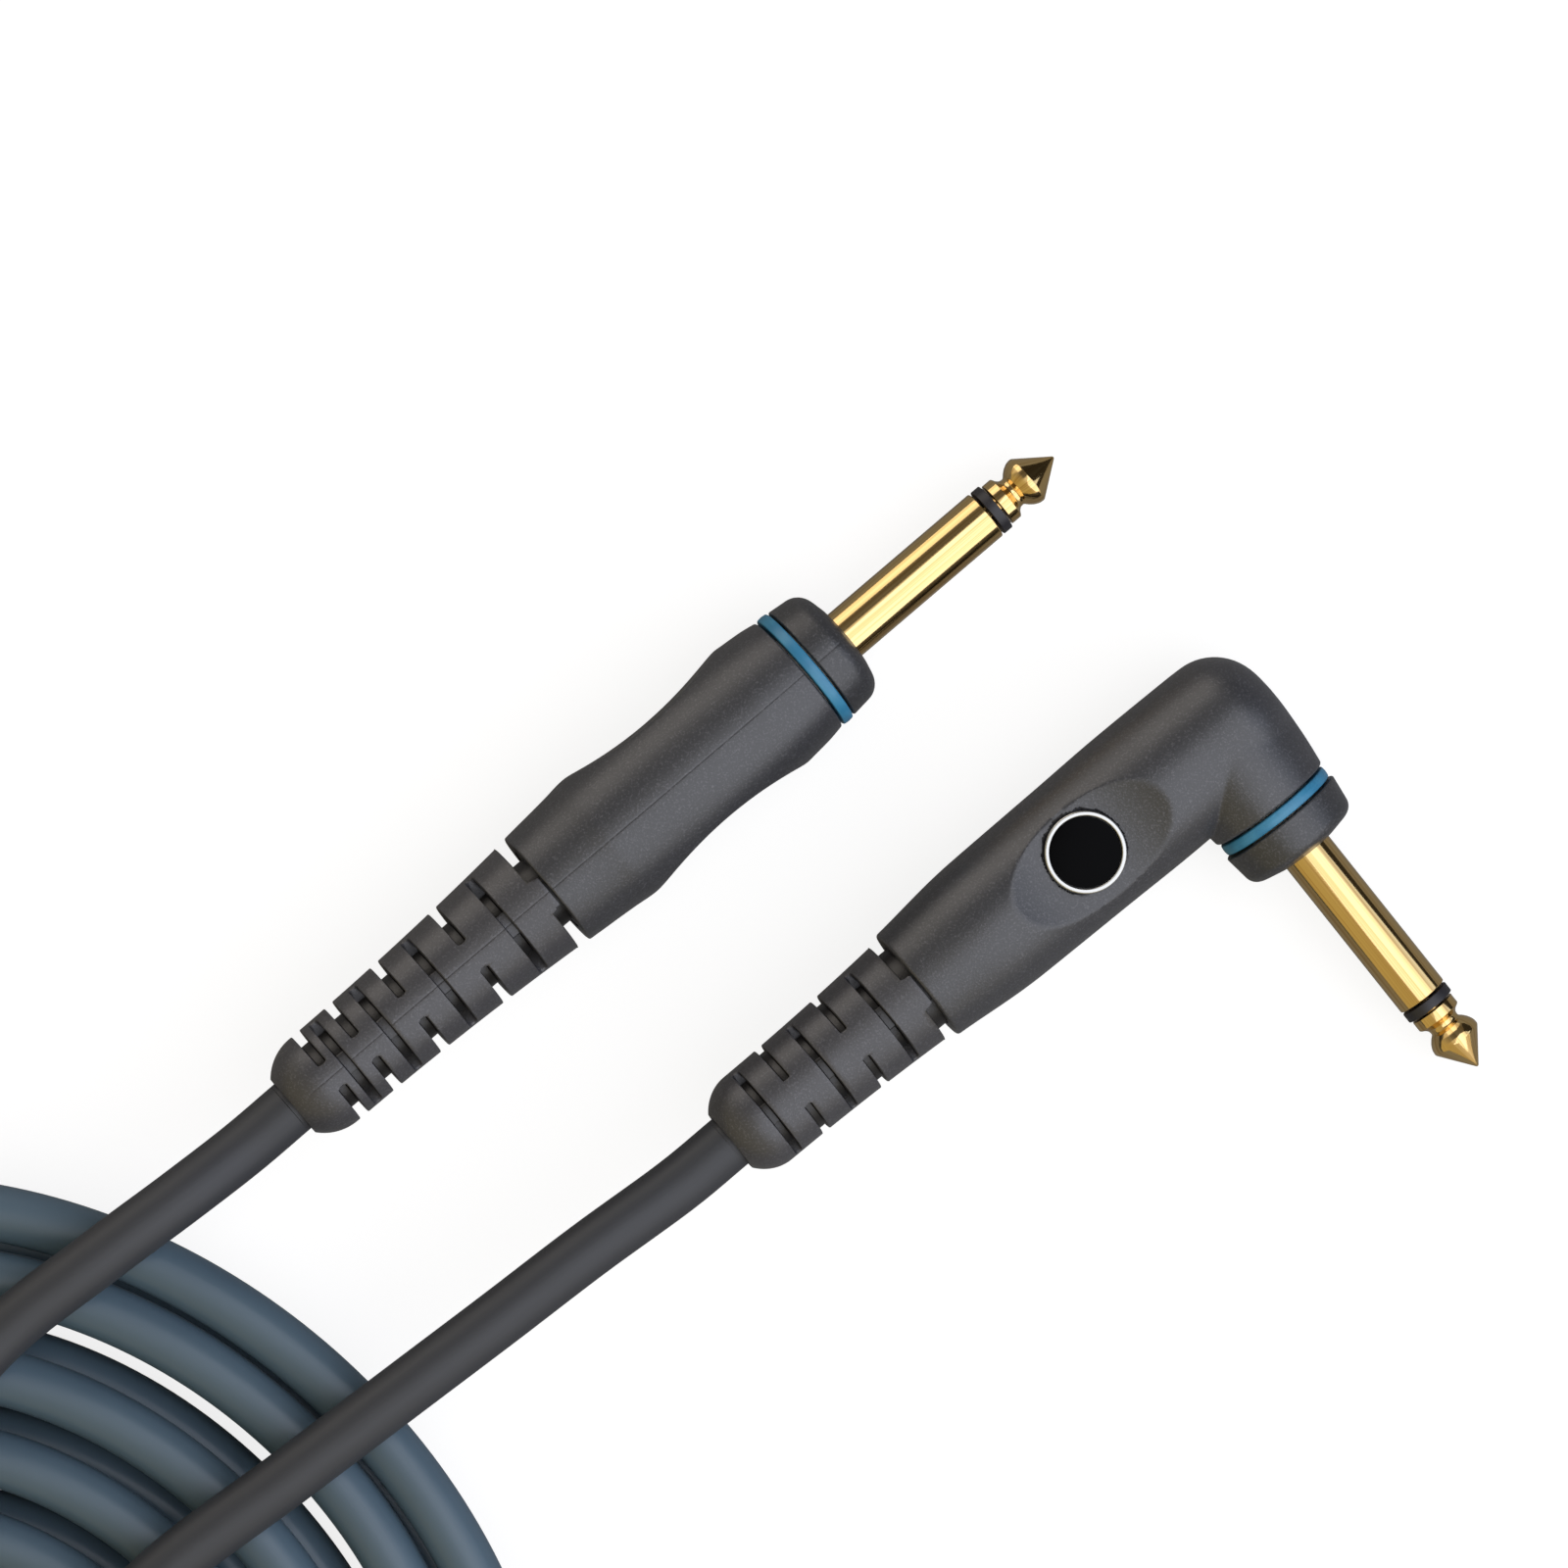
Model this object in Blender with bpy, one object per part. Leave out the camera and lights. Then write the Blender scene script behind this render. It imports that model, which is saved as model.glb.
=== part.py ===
"""Instrument cable: a straight 6.35 mm plug, a right-angle 6.35 mm plug and one coiled, shielded cable.

Each plug has its own frame: local Z runs out along the pin, with zero on the face that the sleeve comes out
of, local Y points at the side that lies upwards, and local X points sideways. The right-angle plug has a
second frame for its body: its Z runs from the cable towards the elbow, with zero where the two axes cross.
Metres, +Z up. The floor is at zero height.
"""

import math
from dataclasses import dataclass

import bmesh
import bpy
import numpy as np
from mathutils import Matrix, Vector

# Where the plugs lie (the middle of their common box is the origin)
STRAIGHT_SEAT = (-0.0039, 0.0208)  # centre of the face that the sleeve comes out of
STRAIGHT_HEADING = math.radians(40.5)
STRAIGHT_PITCH = math.radians(4.3)
STRAIGHT_ROLL = math.radians(3.0)
ANGLED_SEAT = (0.0510, -0.0047)
ANGLED_HEADING = math.radians(-51.3)
ANGLED_PITCH = math.radians(4.4)
ANGLED_ROLL = math.radians(-3.9)
ELBOW_ANGLE = math.radians(90.8)

# Clearance between neighbouring pieces
GAP = 0.0003

# Segments around a turned piece
OUTER_STEPS = 28
RELIEF_STEPS = 24
INNER_STEPS = 20
SMALL_STEPS = 12
SHARP_ANGLE = math.radians(35.0)  # edges of turned pieces that bend more than this stay sharp

# Pin, the same on both plugs. Lengths along it are distances back from the point of the tip.
PIN_LENGTH = 0.0329
SLEEVE_RADIUS = 0.003175
SLEEVE_BORE = 0.00205
SLEEVE_TAIL = 0.0065  # how far the sleeve reaches behind the seat
TIP_BLUNT_RADIUS = 0.000375
TIP_BLUNT_LENGTH = 0.00015
TIP_CONE_LENGTH = 0.0041
TIP_CONE_RADIUS = 0.00315
TIP_SHOULDER = 0.0001  # how far the cone's edge is broken
TIP_BALL = ((0.0046, 0.00312), (0.0053, 0.00285), (0.0059, 0.0024))  # (distance, radius)
TIP_NECK_AT = 0.0064
TIP_NECK_RADIUS = 0.00195
TIP_FLARE_AT = 0.0072
TIP_FLARE_RADIUS = 0.0023
TIP_FLANGE_AT = 0.0075
TIP_FLANGE_RADIUS = 0.00285
TIP_FLANGE_END = 0.00885
TIP_RING_LENGTH = 0.0012
ROD_RADIUS = 0.0011
ROD_TUBE_WALL = 0.00035
RIVET_RADIUS = 0.0019
RIVET_LENGTH = 0.0008
COLLAR_RADIUS = 0.0050
COLLAR_LENGTH = 0.0016
SLEEVE_CHAMFER = 0.0002

# Stack of washers behind the sleeve
CLAMP_WASHER_RADIUS = 0.00405
CLAMP_THICKNESS = 0.0004
CLAMP_TONGUE_WIDTH = 0.0024
REAR_WASHER_RADIUS = 0.0033
REAR_WASHER_THICKNESS = 0.0008
LUG_RADIUS = 0.0029
LUG_THICKNESS = 0.0006
LUG_TONGUE_WIDTH = 0.0024
LUG_TONGUE_HEIGHT = 0.0019  # from the axis to the tongue's inner face
LUG_TONGUE_LENGTH = 0.0066
CRIMP_LENGTH = 0.0060
CRIMP_OPENING = math.radians(80)
CRIMP_STEPS = 15
JOIN_OFFSET = 0.00002  # keeps the faces of two joined pieces apart

# Cable
CABLE_RADIUS = 0.0034
CORE_RADIUS = 0.0011
STRAND_RADIUS = 0.00045
SHIELD_RADIUS = 0.0006
SHIELD_OFFSET = 0.0024  # from the axis down to the middle of the twisted shield

# Head of each plug: nose cap, colour ring and the bores behind them
NOSE_LENGTH = 0.0051
NOSE_FRONT_WALL = 0.0020
RING_LENGTH = 0.0014
RING_EDGE = 0.0002
MOULD_RADIUS = 0.0055
CAVITY_RADIUS = 0.0046
BRANCH_MOULD_RADIUS = 0.0054
BRANCH_CAVITY_RADIUS = 0.0045
MOULD_BORE_LENGTH = 0.0043  # of the mould's rear bore, which holds the cable
SPIGOT_LENGTH = 0.0021
RING_TOP = -(NOSE_LENGTH + GAP)  # heights in the plug's frame
RING_BOTTOM = RING_TOP - RING_LENGTH
GRIP_FRONT = RING_BOTTOM - GAP
MOULD_FRONT = -(NOSE_FRONT_WALL + GAP + COLLAR_LENGTH + GAP)

# Straight plug
GRIP_LENGTH = 0.0393
GRIP_FRONT_RADIUS = 0.00795
GRIP_CROWN_RADIUS = 0.00885
GRIP_CROWN_AT = 0.0179  # behind the grip's front face
GRIP_REAR_RADIUS = 0.0078
SCOOP_RADIUS = 0.046
SCOOP_HALF_WIDTH = 0.00722  # from the axis to the bottom of a side scoop
SCOOP_AT = 0.0176  # behind the grip's front face
SCOOP_REACH = 0.0150  # half the length of the scoop's cutter
CABLE_END_AT = 0.0246  # behind the seat
CRIMP_AT = 0.0270
CORE_LENGTH = 0.0058
STRAND_BENDS = (0.0160, 0.0138)  # where the bare core starts and ends its climb to the lug
STRAND_END = 0.0120
SHIELD_STOPS = (0.0180, 0.0140)

# Right-angle plug
BRANCH_LENGTH = 0.0175  # from the seat to where the axes cross
BRANCH_FRONT_RADIUS = 0.0079
BRANCH_ROOT_RADIUS = 0.0088
BRANCH_EDGE = 0.0005
BRANCH_ROOT_STEP = 0.0012  # corner of the branch's end inside the body
BODY_REAR = 0.0462
BODY_REAR_RADIUS = 0.0076
BODY_CROWN_RADIUS = 0.0090
BODY_CROWN_AT = 0.0095
BODY_TAPER = 0.0005
BODY_END_RADIUS = 0.0088
BODY_END = 0.0086
BODY_CORNER = 0.0067
LEAF_LENGTH = 0.0212  # of the scoop on the broad face
LEAF_DEPTH = 0.0024
LEAF_MARGIN = 0.0015  # how far the scoop's cutter reaches past its ends
LEAF_AT = 0.0213
BADGE_RADIUS = 0.0049
BADGE_RIM_WIDTH = 0.00045
BADGE_RIM_HEIGHT = 0.0009
BADGE_DISC_HEIGHT = 0.0006
BADGE_DOME_RISE = 0.00025
BADGE_POCKET_DEPTH = 0.00015
ANGLED_CABLE_END_AT = 0.0100
ANGLED_CRIMP_AT = 0.0120
ANGLED_CORE_LENGTH = 0.0045
ANGLED_STRAND_BENDS = ((-0.0008, -0.0006), (0.0, -0.0022))  # (sideways, beyond the crossing of the axes)
ANGLED_STRAND_END = 0.0125
ANGLED_SHIELD_STOPS = (0.0060, 0.0025)

# Coil: seen from above its turns are ovals. A turn is told by its support distance, which is how far its
# tangent lies from the coil's centre. The outermost oval has the bends below, and each turn lies inside it.
COIL_CENTRE = (-0.1036, -0.1089)
COIL_LEAN = math.radians(51.0)  # direction of the broad end
COIL_NARROW_BEND = 0.0500
COIL_BROAD_BEND = 0.0837
COIL_START = math.radians(215.0)
COIL_LOWER_TURNS = 4.203
COIL_UPPER_TURNS = 4.75533
COIL_LOWER_PITCH = 0.00977
COIL_UPPER_PITCH = 0.00937
COIL_LOWER_HEIGHT = 0.0034
COIL_LAYER_RISE = 0.0074
COIL_OUTER_INSET = -0.0023
COIL_SIDE_SQUEEZE = 0.108
COIL_OVAL_SQUEEZE = -0.06
COIL_REVERSAL = math.radians(30.0)
COIL_TAIL_INSET = 0.0058
COIL_TAIL_ANGLE = math.radians(130.0)
COIL_SWAYS = (  # where a turn strays outwards: (distance, turns after the reversal, half angle)
    (0.0019, 1.252, math.radians(110.0)),
    (-0.0025, -1.665, math.radians(70.0)),
)
POINTS_A_TURN = 24

# Routes of the free leads, from the plug to the coil
STRAIGHT_ROUTE = (
    (-0.0821, -0.0454, 0.0170),
    (-0.0915, -0.0524, 0.0183),
    (-0.1039, -0.0623, 0.0185),
    (-0.1164, -0.0780, 0.0186),
    (-0.1222, -0.0858, 0.0186),
    (-0.1267, -0.0937, 0.0182),
    (-0.1290, -0.1013, 0.0156),
    (-0.1290, -0.1083, 0.0127),
)
ANGLED_ROUTE = (
    (-0.0341, -0.0517, 0.0162),
    (-0.0446, -0.0597, 0.0175),
    (-0.0551, -0.0676, 0.0183),
    (-0.0690, -0.0781, 0.0185),
    (-0.0847, -0.0900, 0.0185),
    (-0.0920, -0.0982, 0.0186),
    (-0.0939, -0.1065, 0.0142),
    (-0.0936, -0.1158, 0.0082),
    (-0.0961, -0.1245, 0.0044),
    (-0.1022, -0.1315, 0.0036),
    (-0.1104, -0.1330, 0.0036),
)
LEAD_POINT_SPACING = 0.0120


@dataclass(frozen=True)
class Head:
    """Outer sizes of the nose cap and the colour ring."""

    front_radius: float
    rear_radius: float
    corner: float
    ring_radius: float


@dataclass(frozen=True)
class Relief:
    """Sizes of a slotted strain relief. Lengths run back from its front face."""

    front: float  # height of its front face in its frame
    length: float  # to the lip of the dome
    dome_length: float
    front_radius: float
    rear_radius: float
    slot_width: float
    slot_at: float
    slot_pitch: float
    slot_pitch_loss: float
    slot_count: int
    core: float


STRAIGHT_HEAD = Head(0.0076, 0.0079, 0.0020, 0.0080)
ANGLED_HEAD = Head(0.0076, 0.0080, 0.0012, 0.0076)
STRAIGHT_RELIEF = Relief(
    front=GRIP_FRONT - GRIP_LENGTH - GAP, length=0.0391, dome_length=0.0047, front_radius=0.0077,
    rear_radius=0.0063, slot_width=0.00105, slot_at=0.0002, slot_pitch=0.0060, slot_pitch_loss=0.00053,
    slot_count=9, core=0.0046,
)
ANGLED_RELIEF = Relief(
    front=-(BODY_REAR + GAP), length=0.0284, dome_length=0.0042, front_radius=0.0071,
    rear_radius=0.0063, slot_width=0.00105, slot_at=0.0005, slot_pitch=0.0049, slot_pitch_loss=0.0002,
    slot_count=6, core=0.0056,
)
SLOT_BRIDGE = math.radians(17.0)  # half the angle of the web that is left beside each slot
WEB_HALF_ANGLE = math.radians(16.0)
WEB_DEPTH = 0.0009
RELIEF_LIP = 0.0041
CABLE_SHOWS = 0.0005  # how far the cable end stands out of the dome


# ---------------------------------------------------------------- scene, collections, materials


def clear_scene():
    for item in list(bpy.data.objects):
        bpy.data.objects.remove(item, do_unlink=True)


def new_collection(name, helpers=False):
    made = bpy.data.collections.new(name)
    bpy.context.scene.collection.children.link(made)
    made.hide_render = helpers
    return made


def new_material(name, colour, roughness, metallic=0.0):
    made = bpy.data.materials.new(name)
    made.use_nodes = True
    shader = made.node_tree.nodes["Principled BSDF"]
    shader.inputs["Base Color"].default_value = (*colour, 1.0)
    shader.inputs["Roughness"].default_value = roughness
    shader.inputs["Metallic"].default_value = metallic
    made.diffuse_color = (*colour, 1.0)
    return made


clear_scene()
PARTS = new_collection("instrument_cable")
CUTTERS = new_collection("cutters", helpers=True)

GRIP_RUBBER = new_material("charcoal_rubber", (0.070, 0.070, 0.074), 0.6)
NOSE_RUBBER = new_material("charcoal_nose_moulding", (0.080, 0.080, 0.085), 0.5)
RELIEF_RUBBER = new_material("soft_black_rubber", (0.055, 0.053, 0.052), 0.7)
RING_PLASTIC = new_material("blue_plastic", (0.05, 0.26, 0.46), 0.4)
GOLD = new_material("gold_plate", (0.78, 0.49, 0.12), 0.2, 1.0)
BLACK_PLASTIC = new_material("black_insulator", (0.028, 0.027, 0.03), 0.4)
BRASS = new_material("stamped_brass", (0.62, 0.46, 0.17), 0.35, 1.0)
CARRIER_PLASTIC = new_material("natural_carrier_plastic", (0.55, 0.54, 0.50), 0.5)
JACKET = new_material("slate_cable_jacket", (0.050, 0.065, 0.080), 0.45)
CORE_PLASTIC = new_material("white_core_insulation", (0.75, 0.74, 0.70), 0.45)
COPPER = new_material("bare_copper", (0.72, 0.33, 0.18), 0.35, 1.0)
SILVER = new_material("bright_metal_rim", (0.78, 0.78, 0.76), 0.2, 1.0)
GLOSS_BLACK = new_material("gloss_black_badge", (0.012, 0.012, 0.014), 0.12)


# ---------------------------------------------------------------- modelling helpers


def place(made, finish, parent):
    """Puts an object in the parts with its material, or in the cutters when it has none."""
    if finish is None:
        CUTTERS.objects.link(made)
        made.hide_render = True
        made.display_type = "WIRE"
    else:
        PARTS.objects.link(made)
        made.data.materials.append(finish)
    made.parent = parent
    return made


def new_frame(name, location, rotation=None, parent=None):
    """An empty that pieces are parented to."""
    frame = bpy.data.objects.new(name, None)
    CUTTERS.objects.link(frame)
    frame.parent = parent
    frame.matrix_local = Matrix.Translation(location) @ (rotation or Matrix()).to_4x4()
    return frame


def signed_area(outline):
    turned_on = outline[1:] + outline[:1]
    return sum(a[0] * b[1] - b[0] * a[1] for a, b in zip(outline, turned_on)) / 2


def turned(name, outline, finish, parent, steps=OUTER_STEPS, first_step=0.0):
    """Solid of revolution about local Z, smooth round its axis.

    The outline holds (radius, height) points. It is closed, or else it starts and ends on the axis. The first
    segment starts at first_step segments from local X.
    """
    points = list(outline) if signed_area(outline) < 0 else list(reversed(outline))
    angles = (np.arange(steps) + first_step) * 2 * math.pi / steps
    shape = bmesh.new()
    rings = []
    for radius, height in points:
        if radius == 0.0:
            rings.append([shape.verts.new((0.0, 0.0, height))] * steps)
            continue
        corners = [(radius * math.cos(a), radius * math.sin(a), height) for a in angles]
        rings.append([shape.verts.new(corner) for corner in corners])
    for upper, lower in zip(rings, rings[1:] + rings[:1]):
        for i in range(steps):
            after = (i + 1) % steps
            corners = dict.fromkeys((upper[i], lower[i], lower[after], upper[after]))
            if len(corners) > 2:
                shape.faces.new(corners)
    mesh = bpy.data.meshes.new(name)
    shape.to_mesh(mesh)
    shape.free()
    mesh.shade_smooth()
    mesh.set_sharp_from_angle(angle=SHARP_ANGLE)
    return place(bpy.data.objects.new(name, mesh), finish, parent)


def arc(centre, radius, start, end, count):
    """Points of an arc in the (radius, height) plane, angles from the outward direction."""
    angles = np.linspace(start, end, count)
    return [(centre[0] + radius * math.cos(a), centre[1] + radius * math.sin(a)) for a in angles]


def extruded(name, outline, bottom, top, finish, parent):
    """A straight block whose section is an outline in the local XY plane."""
    shape = bmesh.new()
    face = shape.faces.new([shape.verts.new((x, y, bottom)) for x, y in outline])
    grown = bmesh.ops.extrude_face_region(shape, geom=[face])
    moved = [item for item in grown["geom"] if isinstance(item, bmesh.types.BMVert)]
    bmesh.ops.translate(shape, verts=moved, vec=(0.0, 0.0, top - bottom))
    bmesh.ops.recalc_face_normals(shape, faces=shape.faces)
    mesh = bpy.data.meshes.new(name)
    shape.to_mesh(mesh)
    shape.free()
    return place(bpy.data.objects.new(name, mesh), finish, parent)


def block(name, low, high, finish, parent):
    """A box between two corners in the parent's frame."""
    outline = [(low[0], low[1]), (high[0], low[1]), (high[0], high[1]), (low[0], high[1])]
    return extruded(name, outline, low[2], high[2], finish, parent)


def boolean(target, other, operation):
    step = target.modifiers.new(operation.lower(), "BOOLEAN")
    step.operation = operation
    step.object = other
    step.solver = "EXACT"


def cylinder(name, radius, bottom, top, parent, steps=INNER_STEPS):
    """A hidden cylinder that cuts, or is joined to, a piece: its corners lie off those of the piece."""
    outline = [(0.0, top), (radius, top), (radius, bottom), (0.0, bottom)]
    return turned(name, outline, None, parent, steps, first_step=0.5)


def tube_along(name, points, radius, finish, sides_setting, parent=None):
    """A round tube on a polyline, with closed ends."""
    curve = bpy.data.curves.new(name, "CURVE")
    curve.dimensions = "3D"
    curve.bevel_depth = radius
    curve.bevel_resolution = sides_setting
    curve.use_fill_caps = True
    spline = curve.splines.new("POLY")
    spline.points.add(len(points) - 1)
    spline.points.foreach_set("co", np.column_stack([points, np.ones(len(points))]).ravel())
    return place(bpy.data.objects.new(name, curve), finish, parent)


def smooth_route(points, spacing, run):
    """Points on a centripetal Catmull-Rom curve through the given ones, evenly spaced between end runs."""
    route = np.array([tuple(p) for p in points])
    route = np.vstack([2 * route[0] - route[1], route, 2 * route[-1] - route[-2]])
    knots = np.concatenate([[0.0], np.cumsum(np.linalg.norm(np.diff(route, axis=0), axis=1) ** 0.5)])
    fine = []
    for i in range(1, len(route) - 2):
        t = np.linspace(knots[i], knots[i + 1], 24, endpoint=i == len(route) - 3)[:, None]
        k, p = knots[i - 1 : i + 3], route[i - 1 : i + 3]
        a = [((k[j + 1] - t) * p[j] + (t - k[j]) * p[j + 1]) / (k[j + 1] - k[j]) for j in range(3)]
        b = [((k[j + 2] - t) * a[j] + (t - k[j]) * a[j + 1]) / (k[j + 2] - k[j]) for j in range(2)]
        fine.append(((k[2] - t) * b[0] + (t - k[1]) * b[1]) / (k[2] - k[1]))
    fine = np.vstack(fine)
    along = np.concatenate([[0.0], np.cumsum(np.linalg.norm(np.diff(fine, axis=0), axis=1))])
    inner = np.linspace(run, along[-1] - run, max(2, round(along[-1] / spacing)))
    places = np.concatenate([[0.0], inner, [along[-1]]])
    return np.column_stack([np.interp(places, along, fine[:, axis]) for axis in range(3)])


# ---------------------------------------------------------------- pin


def pin_height(back_from_point):
    """Local height of a place that is given as a distance back from the point of the tip."""
    return PIN_LENGTH - back_from_point


RING_START = TIP_FLANGE_END + GAP
RING_END = RING_START + TIP_RING_LENGTH
SLEEVE_START = RING_END + GAP
CLAMP_TOP = -(SLEEVE_TAIL + GAP)
CLAMP_BOTTOM = CLAMP_TOP - CLAMP_THICKNESS
WASHER_TOP = CLAMP_BOTTOM - GAP
WASHER_BOTTOM = WASHER_TOP - REAR_WASHER_THICKNESS
LUG_TOP = WASHER_BOTTOM - GAP
LUG_BOTTOM = LUG_TOP - LUG_THICKNESS
RIVET_TOP = LUG_BOTTOM - GAP
ROD_CLEAR = ROD_RADIUS + GAP
ROD_TUBE_RADIUS = ROD_CLEAR + ROD_TUBE_WALL


def tip(name, parent):
    """Cone, ball, neck and flange of the tip contact, with the rod that runs back to a riveted head."""
    outline = [
        (0.0, pin_height(0.0)),
        (TIP_BLUNT_RADIUS, pin_height(TIP_BLUNT_LENGTH)),
        (TIP_CONE_RADIUS - TIP_SHOULDER, pin_height(TIP_CONE_LENGTH - 3 * TIP_SHOULDER)),
        (TIP_CONE_RADIUS, pin_height(TIP_CONE_LENGTH + TIP_SHOULDER)),
        *[(radius, pin_height(distance)) for distance, radius in TIP_BALL],
        (TIP_NECK_RADIUS, pin_height(TIP_NECK_AT)),
        (TIP_FLARE_RADIUS, pin_height(TIP_FLARE_AT)),
        (TIP_FLANGE_RADIUS, pin_height(TIP_FLANGE_AT)),
        (TIP_FLANGE_RADIUS, pin_height(TIP_FLANGE_END)),
        (ROD_RADIUS, pin_height(TIP_FLANGE_END)),
        (ROD_RADIUS, RIVET_TOP),
        (RIVET_RADIUS, RIVET_TOP),
        (RIVET_RADIUS, RIVET_TOP - RIVET_LENGTH / 2),
        (ROD_RADIUS, RIVET_TOP - RIVET_LENGTH),
        (0.0, RIVET_TOP - RIVET_LENGTH),
    ]
    return turned(name, outline, GOLD, parent, INNER_STEPS)


def washer(name, bore, radius, top, bottom, finish, parent, steps=INNER_STEPS):
    outline = [(bore, top), (radius, top), (radius, bottom), (bore, bottom)]
    return turned(name, outline, finish, parent, steps)


def sleeve(name, parent):
    """Gold barrel with a chamfered front edge and the collar that the nose cap holds."""
    front = pin_height(SLEEVE_START)
    collar_top = -(NOSE_FRONT_WALL + GAP)
    outline = [
        (SLEEVE_BORE, front),
        (SLEEVE_RADIUS - SLEEVE_CHAMFER, front),
        (SLEEVE_RADIUS, front - SLEEVE_CHAMFER),
        (SLEEVE_RADIUS, collar_top),
        (COLLAR_RADIUS, collar_top),
        (COLLAR_RADIUS, collar_top - COLLAR_LENGTH),
        (SLEEVE_RADIUS, collar_top - COLLAR_LENGTH),
        (SLEEVE_RADIUS, -SLEEVE_TAIL),
        (SLEEVE_BORE, -SLEEVE_TAIL),
    ]
    return turned(name, outline, GOLD, parent, INNER_STEPS)


def tip_lug(name, parent):
    """Washer under the rivet with a tongue that the core is soldered to."""
    lug = washer(name, ROD_CLEAR, LUG_RADIUS, LUG_TOP, LUG_BOTTOM, BRASS, parent, SMALL_STEPS)
    half = LUG_TONGUE_WIDTH / 2
    low = (-half, LUG_TONGUE_HEIGHT, LUG_BOTTOM - LUG_TONGUE_LENGTH)
    high = (half, LUG_TONGUE_HEIGHT + LUG_THICKNESS, LUG_TOP - LUG_THICKNESS / 4)
    boolean(lug, block(name + "_tongue", low, high, None, parent), "UNION")
    return lug


def crimp_outline(bore, wall):
    """A ring section that is open upwards, for the cradle that holds the cable."""
    start, end = math.pi / 2 + CRIMP_OPENING / 2, 5 * math.pi / 2 - CRIMP_OPENING / 2
    outside = arc((0, 0), bore + wall, start, end, CRIMP_STEPS)
    return outside + arc((0, 0), bore, end, start, CRIMP_STEPS)


def ground_clamp(name, head, arm_frame, arm_top, crimp_top):
    """Washer on the sleeve, tongue along the mould's floor and cradle round the cable."""
    bore = ROD_TUBE_RADIUS + GAP
    clamp = washer(name, bore, CLAMP_WASHER_RADIUS, CLAMP_TOP, CLAMP_BOTTOM, BRASS, head, SMALL_STEPS)
    half = CLAMP_TONGUE_WIDTH / 2
    inner = -(CABLE_RADIUS + GAP)
    outer = inner - CLAMP_THICKNESS
    if arm_frame is not head:
        low = (-half, outer, -(BRANCH_LENGTH + half))
        high = (half, inner, CLAMP_TOP - CLAMP_THICKNESS / 4)
        boolean(clamp, block(name + "_tongue", low, high, None, head), "UNION")
    low = (-half, outer - JOIN_OFFSET, crimp_top - CRIMP_LENGTH / 2)
    high = (half, inner - JOIN_OFFSET, arm_top)
    boolean(clamp, block(name + "_arm", low, high, None, arm_frame), "UNION")
    outline = crimp_outline(CABLE_RADIUS + GAP, CLAMP_THICKNESS)
    cradle = extruded(name + "_cradle", outline, crimp_top - CRIMP_LENGTH, crimp_top, None, arm_frame)
    boolean(clamp, cradle, "UNION")
    return clamp


def pin(prefix, parent):
    """Everything on the pin's axis that both plugs share."""
    tip(prefix + "_tip", parent)
    washer(prefix + "_tip_insulator", ROD_CLEAR, TIP_CONE_RADIUS, pin_height(RING_START),
           pin_height(RING_END), BLACK_PLASTIC, parent)
    washer(prefix + "_rod_insulator", ROD_CLEAR, ROD_TUBE_RADIUS, pin_height(SLEEVE_START),
           CLAMP_BOTTOM, BLACK_PLASTIC, parent, SMALL_STEPS)
    sleeve(prefix + "_sleeve", parent)
    washer(prefix + "_rear_insulator", ROD_CLEAR, REAR_WASHER_RADIUS, WASHER_TOP, WASHER_BOTTOM,
           BLACK_PLASTIC, parent, SMALL_STEPS)
    tip_lug(prefix + "_tip_lug", parent)


# ---------------------------------------------------------------- head: nose cap and ring


def nose_cap(name, head, mould_radius, parent):
    """Front cap with a rounded corner, stepped inside round the sleeve's collar."""
    bore = SLEEVE_RADIUS + GAP
    corner = arc((head.front_radius - head.corner, -head.corner), head.corner, math.pi / 2, 0.0, 6)
    outline = [(bore, 0.0)] + corner + [
        (head.rear_radius, -NOSE_LENGTH),
        (mould_radius + GAP, -NOSE_LENGTH),
        (mould_radius + GAP, -NOSE_FRONT_WALL),
        (bore, -NOSE_FRONT_WALL),
    ]
    return turned(name, outline, NOSE_RUBBER, parent)


def colour_ring(name, head, mould_radius, parent):
    """Blue band with softened edges."""
    outline = [
        (mould_radius + GAP, RING_TOP),
        (head.ring_radius - RING_EDGE, RING_TOP),
        (head.ring_radius, RING_TOP - RING_EDGE),
        (head.ring_radius, RING_BOTTOM + RING_EDGE),
        (head.ring_radius - RING_EDGE, RING_BOTTOM),
        (mould_radius + GAP, RING_BOTTOM),
    ]
    return turned(name, outline, RING_PLASTIC, parent)


# ---------------------------------------------------------------- strain relief


def slot_outline(deep, shallow, middle_web):
    """Section of one slot's cutter on the +Y side, between the bridges, with a shallow middle if asked."""
    far = 2 * deep + shallow
    end = math.pi / 2 - SLOT_BRIDGE
    outline = [(far * math.sin(a), far * math.cos(a)) for a in np.linspace(-end, end, 7)]
    if middle_web:
        inner = [(a, deep) for a in np.linspace(end, WEB_HALF_ANGLE, 4)]
        inner += [(a, shallow) for a in np.linspace(WEB_HALF_ANGLE, -WEB_HALF_ANGLE, 3)]
        inner += [(a, deep) for a in np.linspace(-WEB_HALF_ANGLE, -end, 4)]
    else:
        inner = [(a, deep) for a in np.linspace(end, -end, 9)]
    return outline + [(r * math.sin(a), r * math.cos(a)) for a, r in inner]


def relief_radius(sizes, back):
    """Radius of the cone at a distance behind its front face: it flattens out towards the rear."""
    share = min(back / (sizes.length - sizes.dome_length), 1.0)
    return sizes.rear_radius + (sizes.front_radius - sizes.rear_radius) * (1 - share) ** 2


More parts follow.
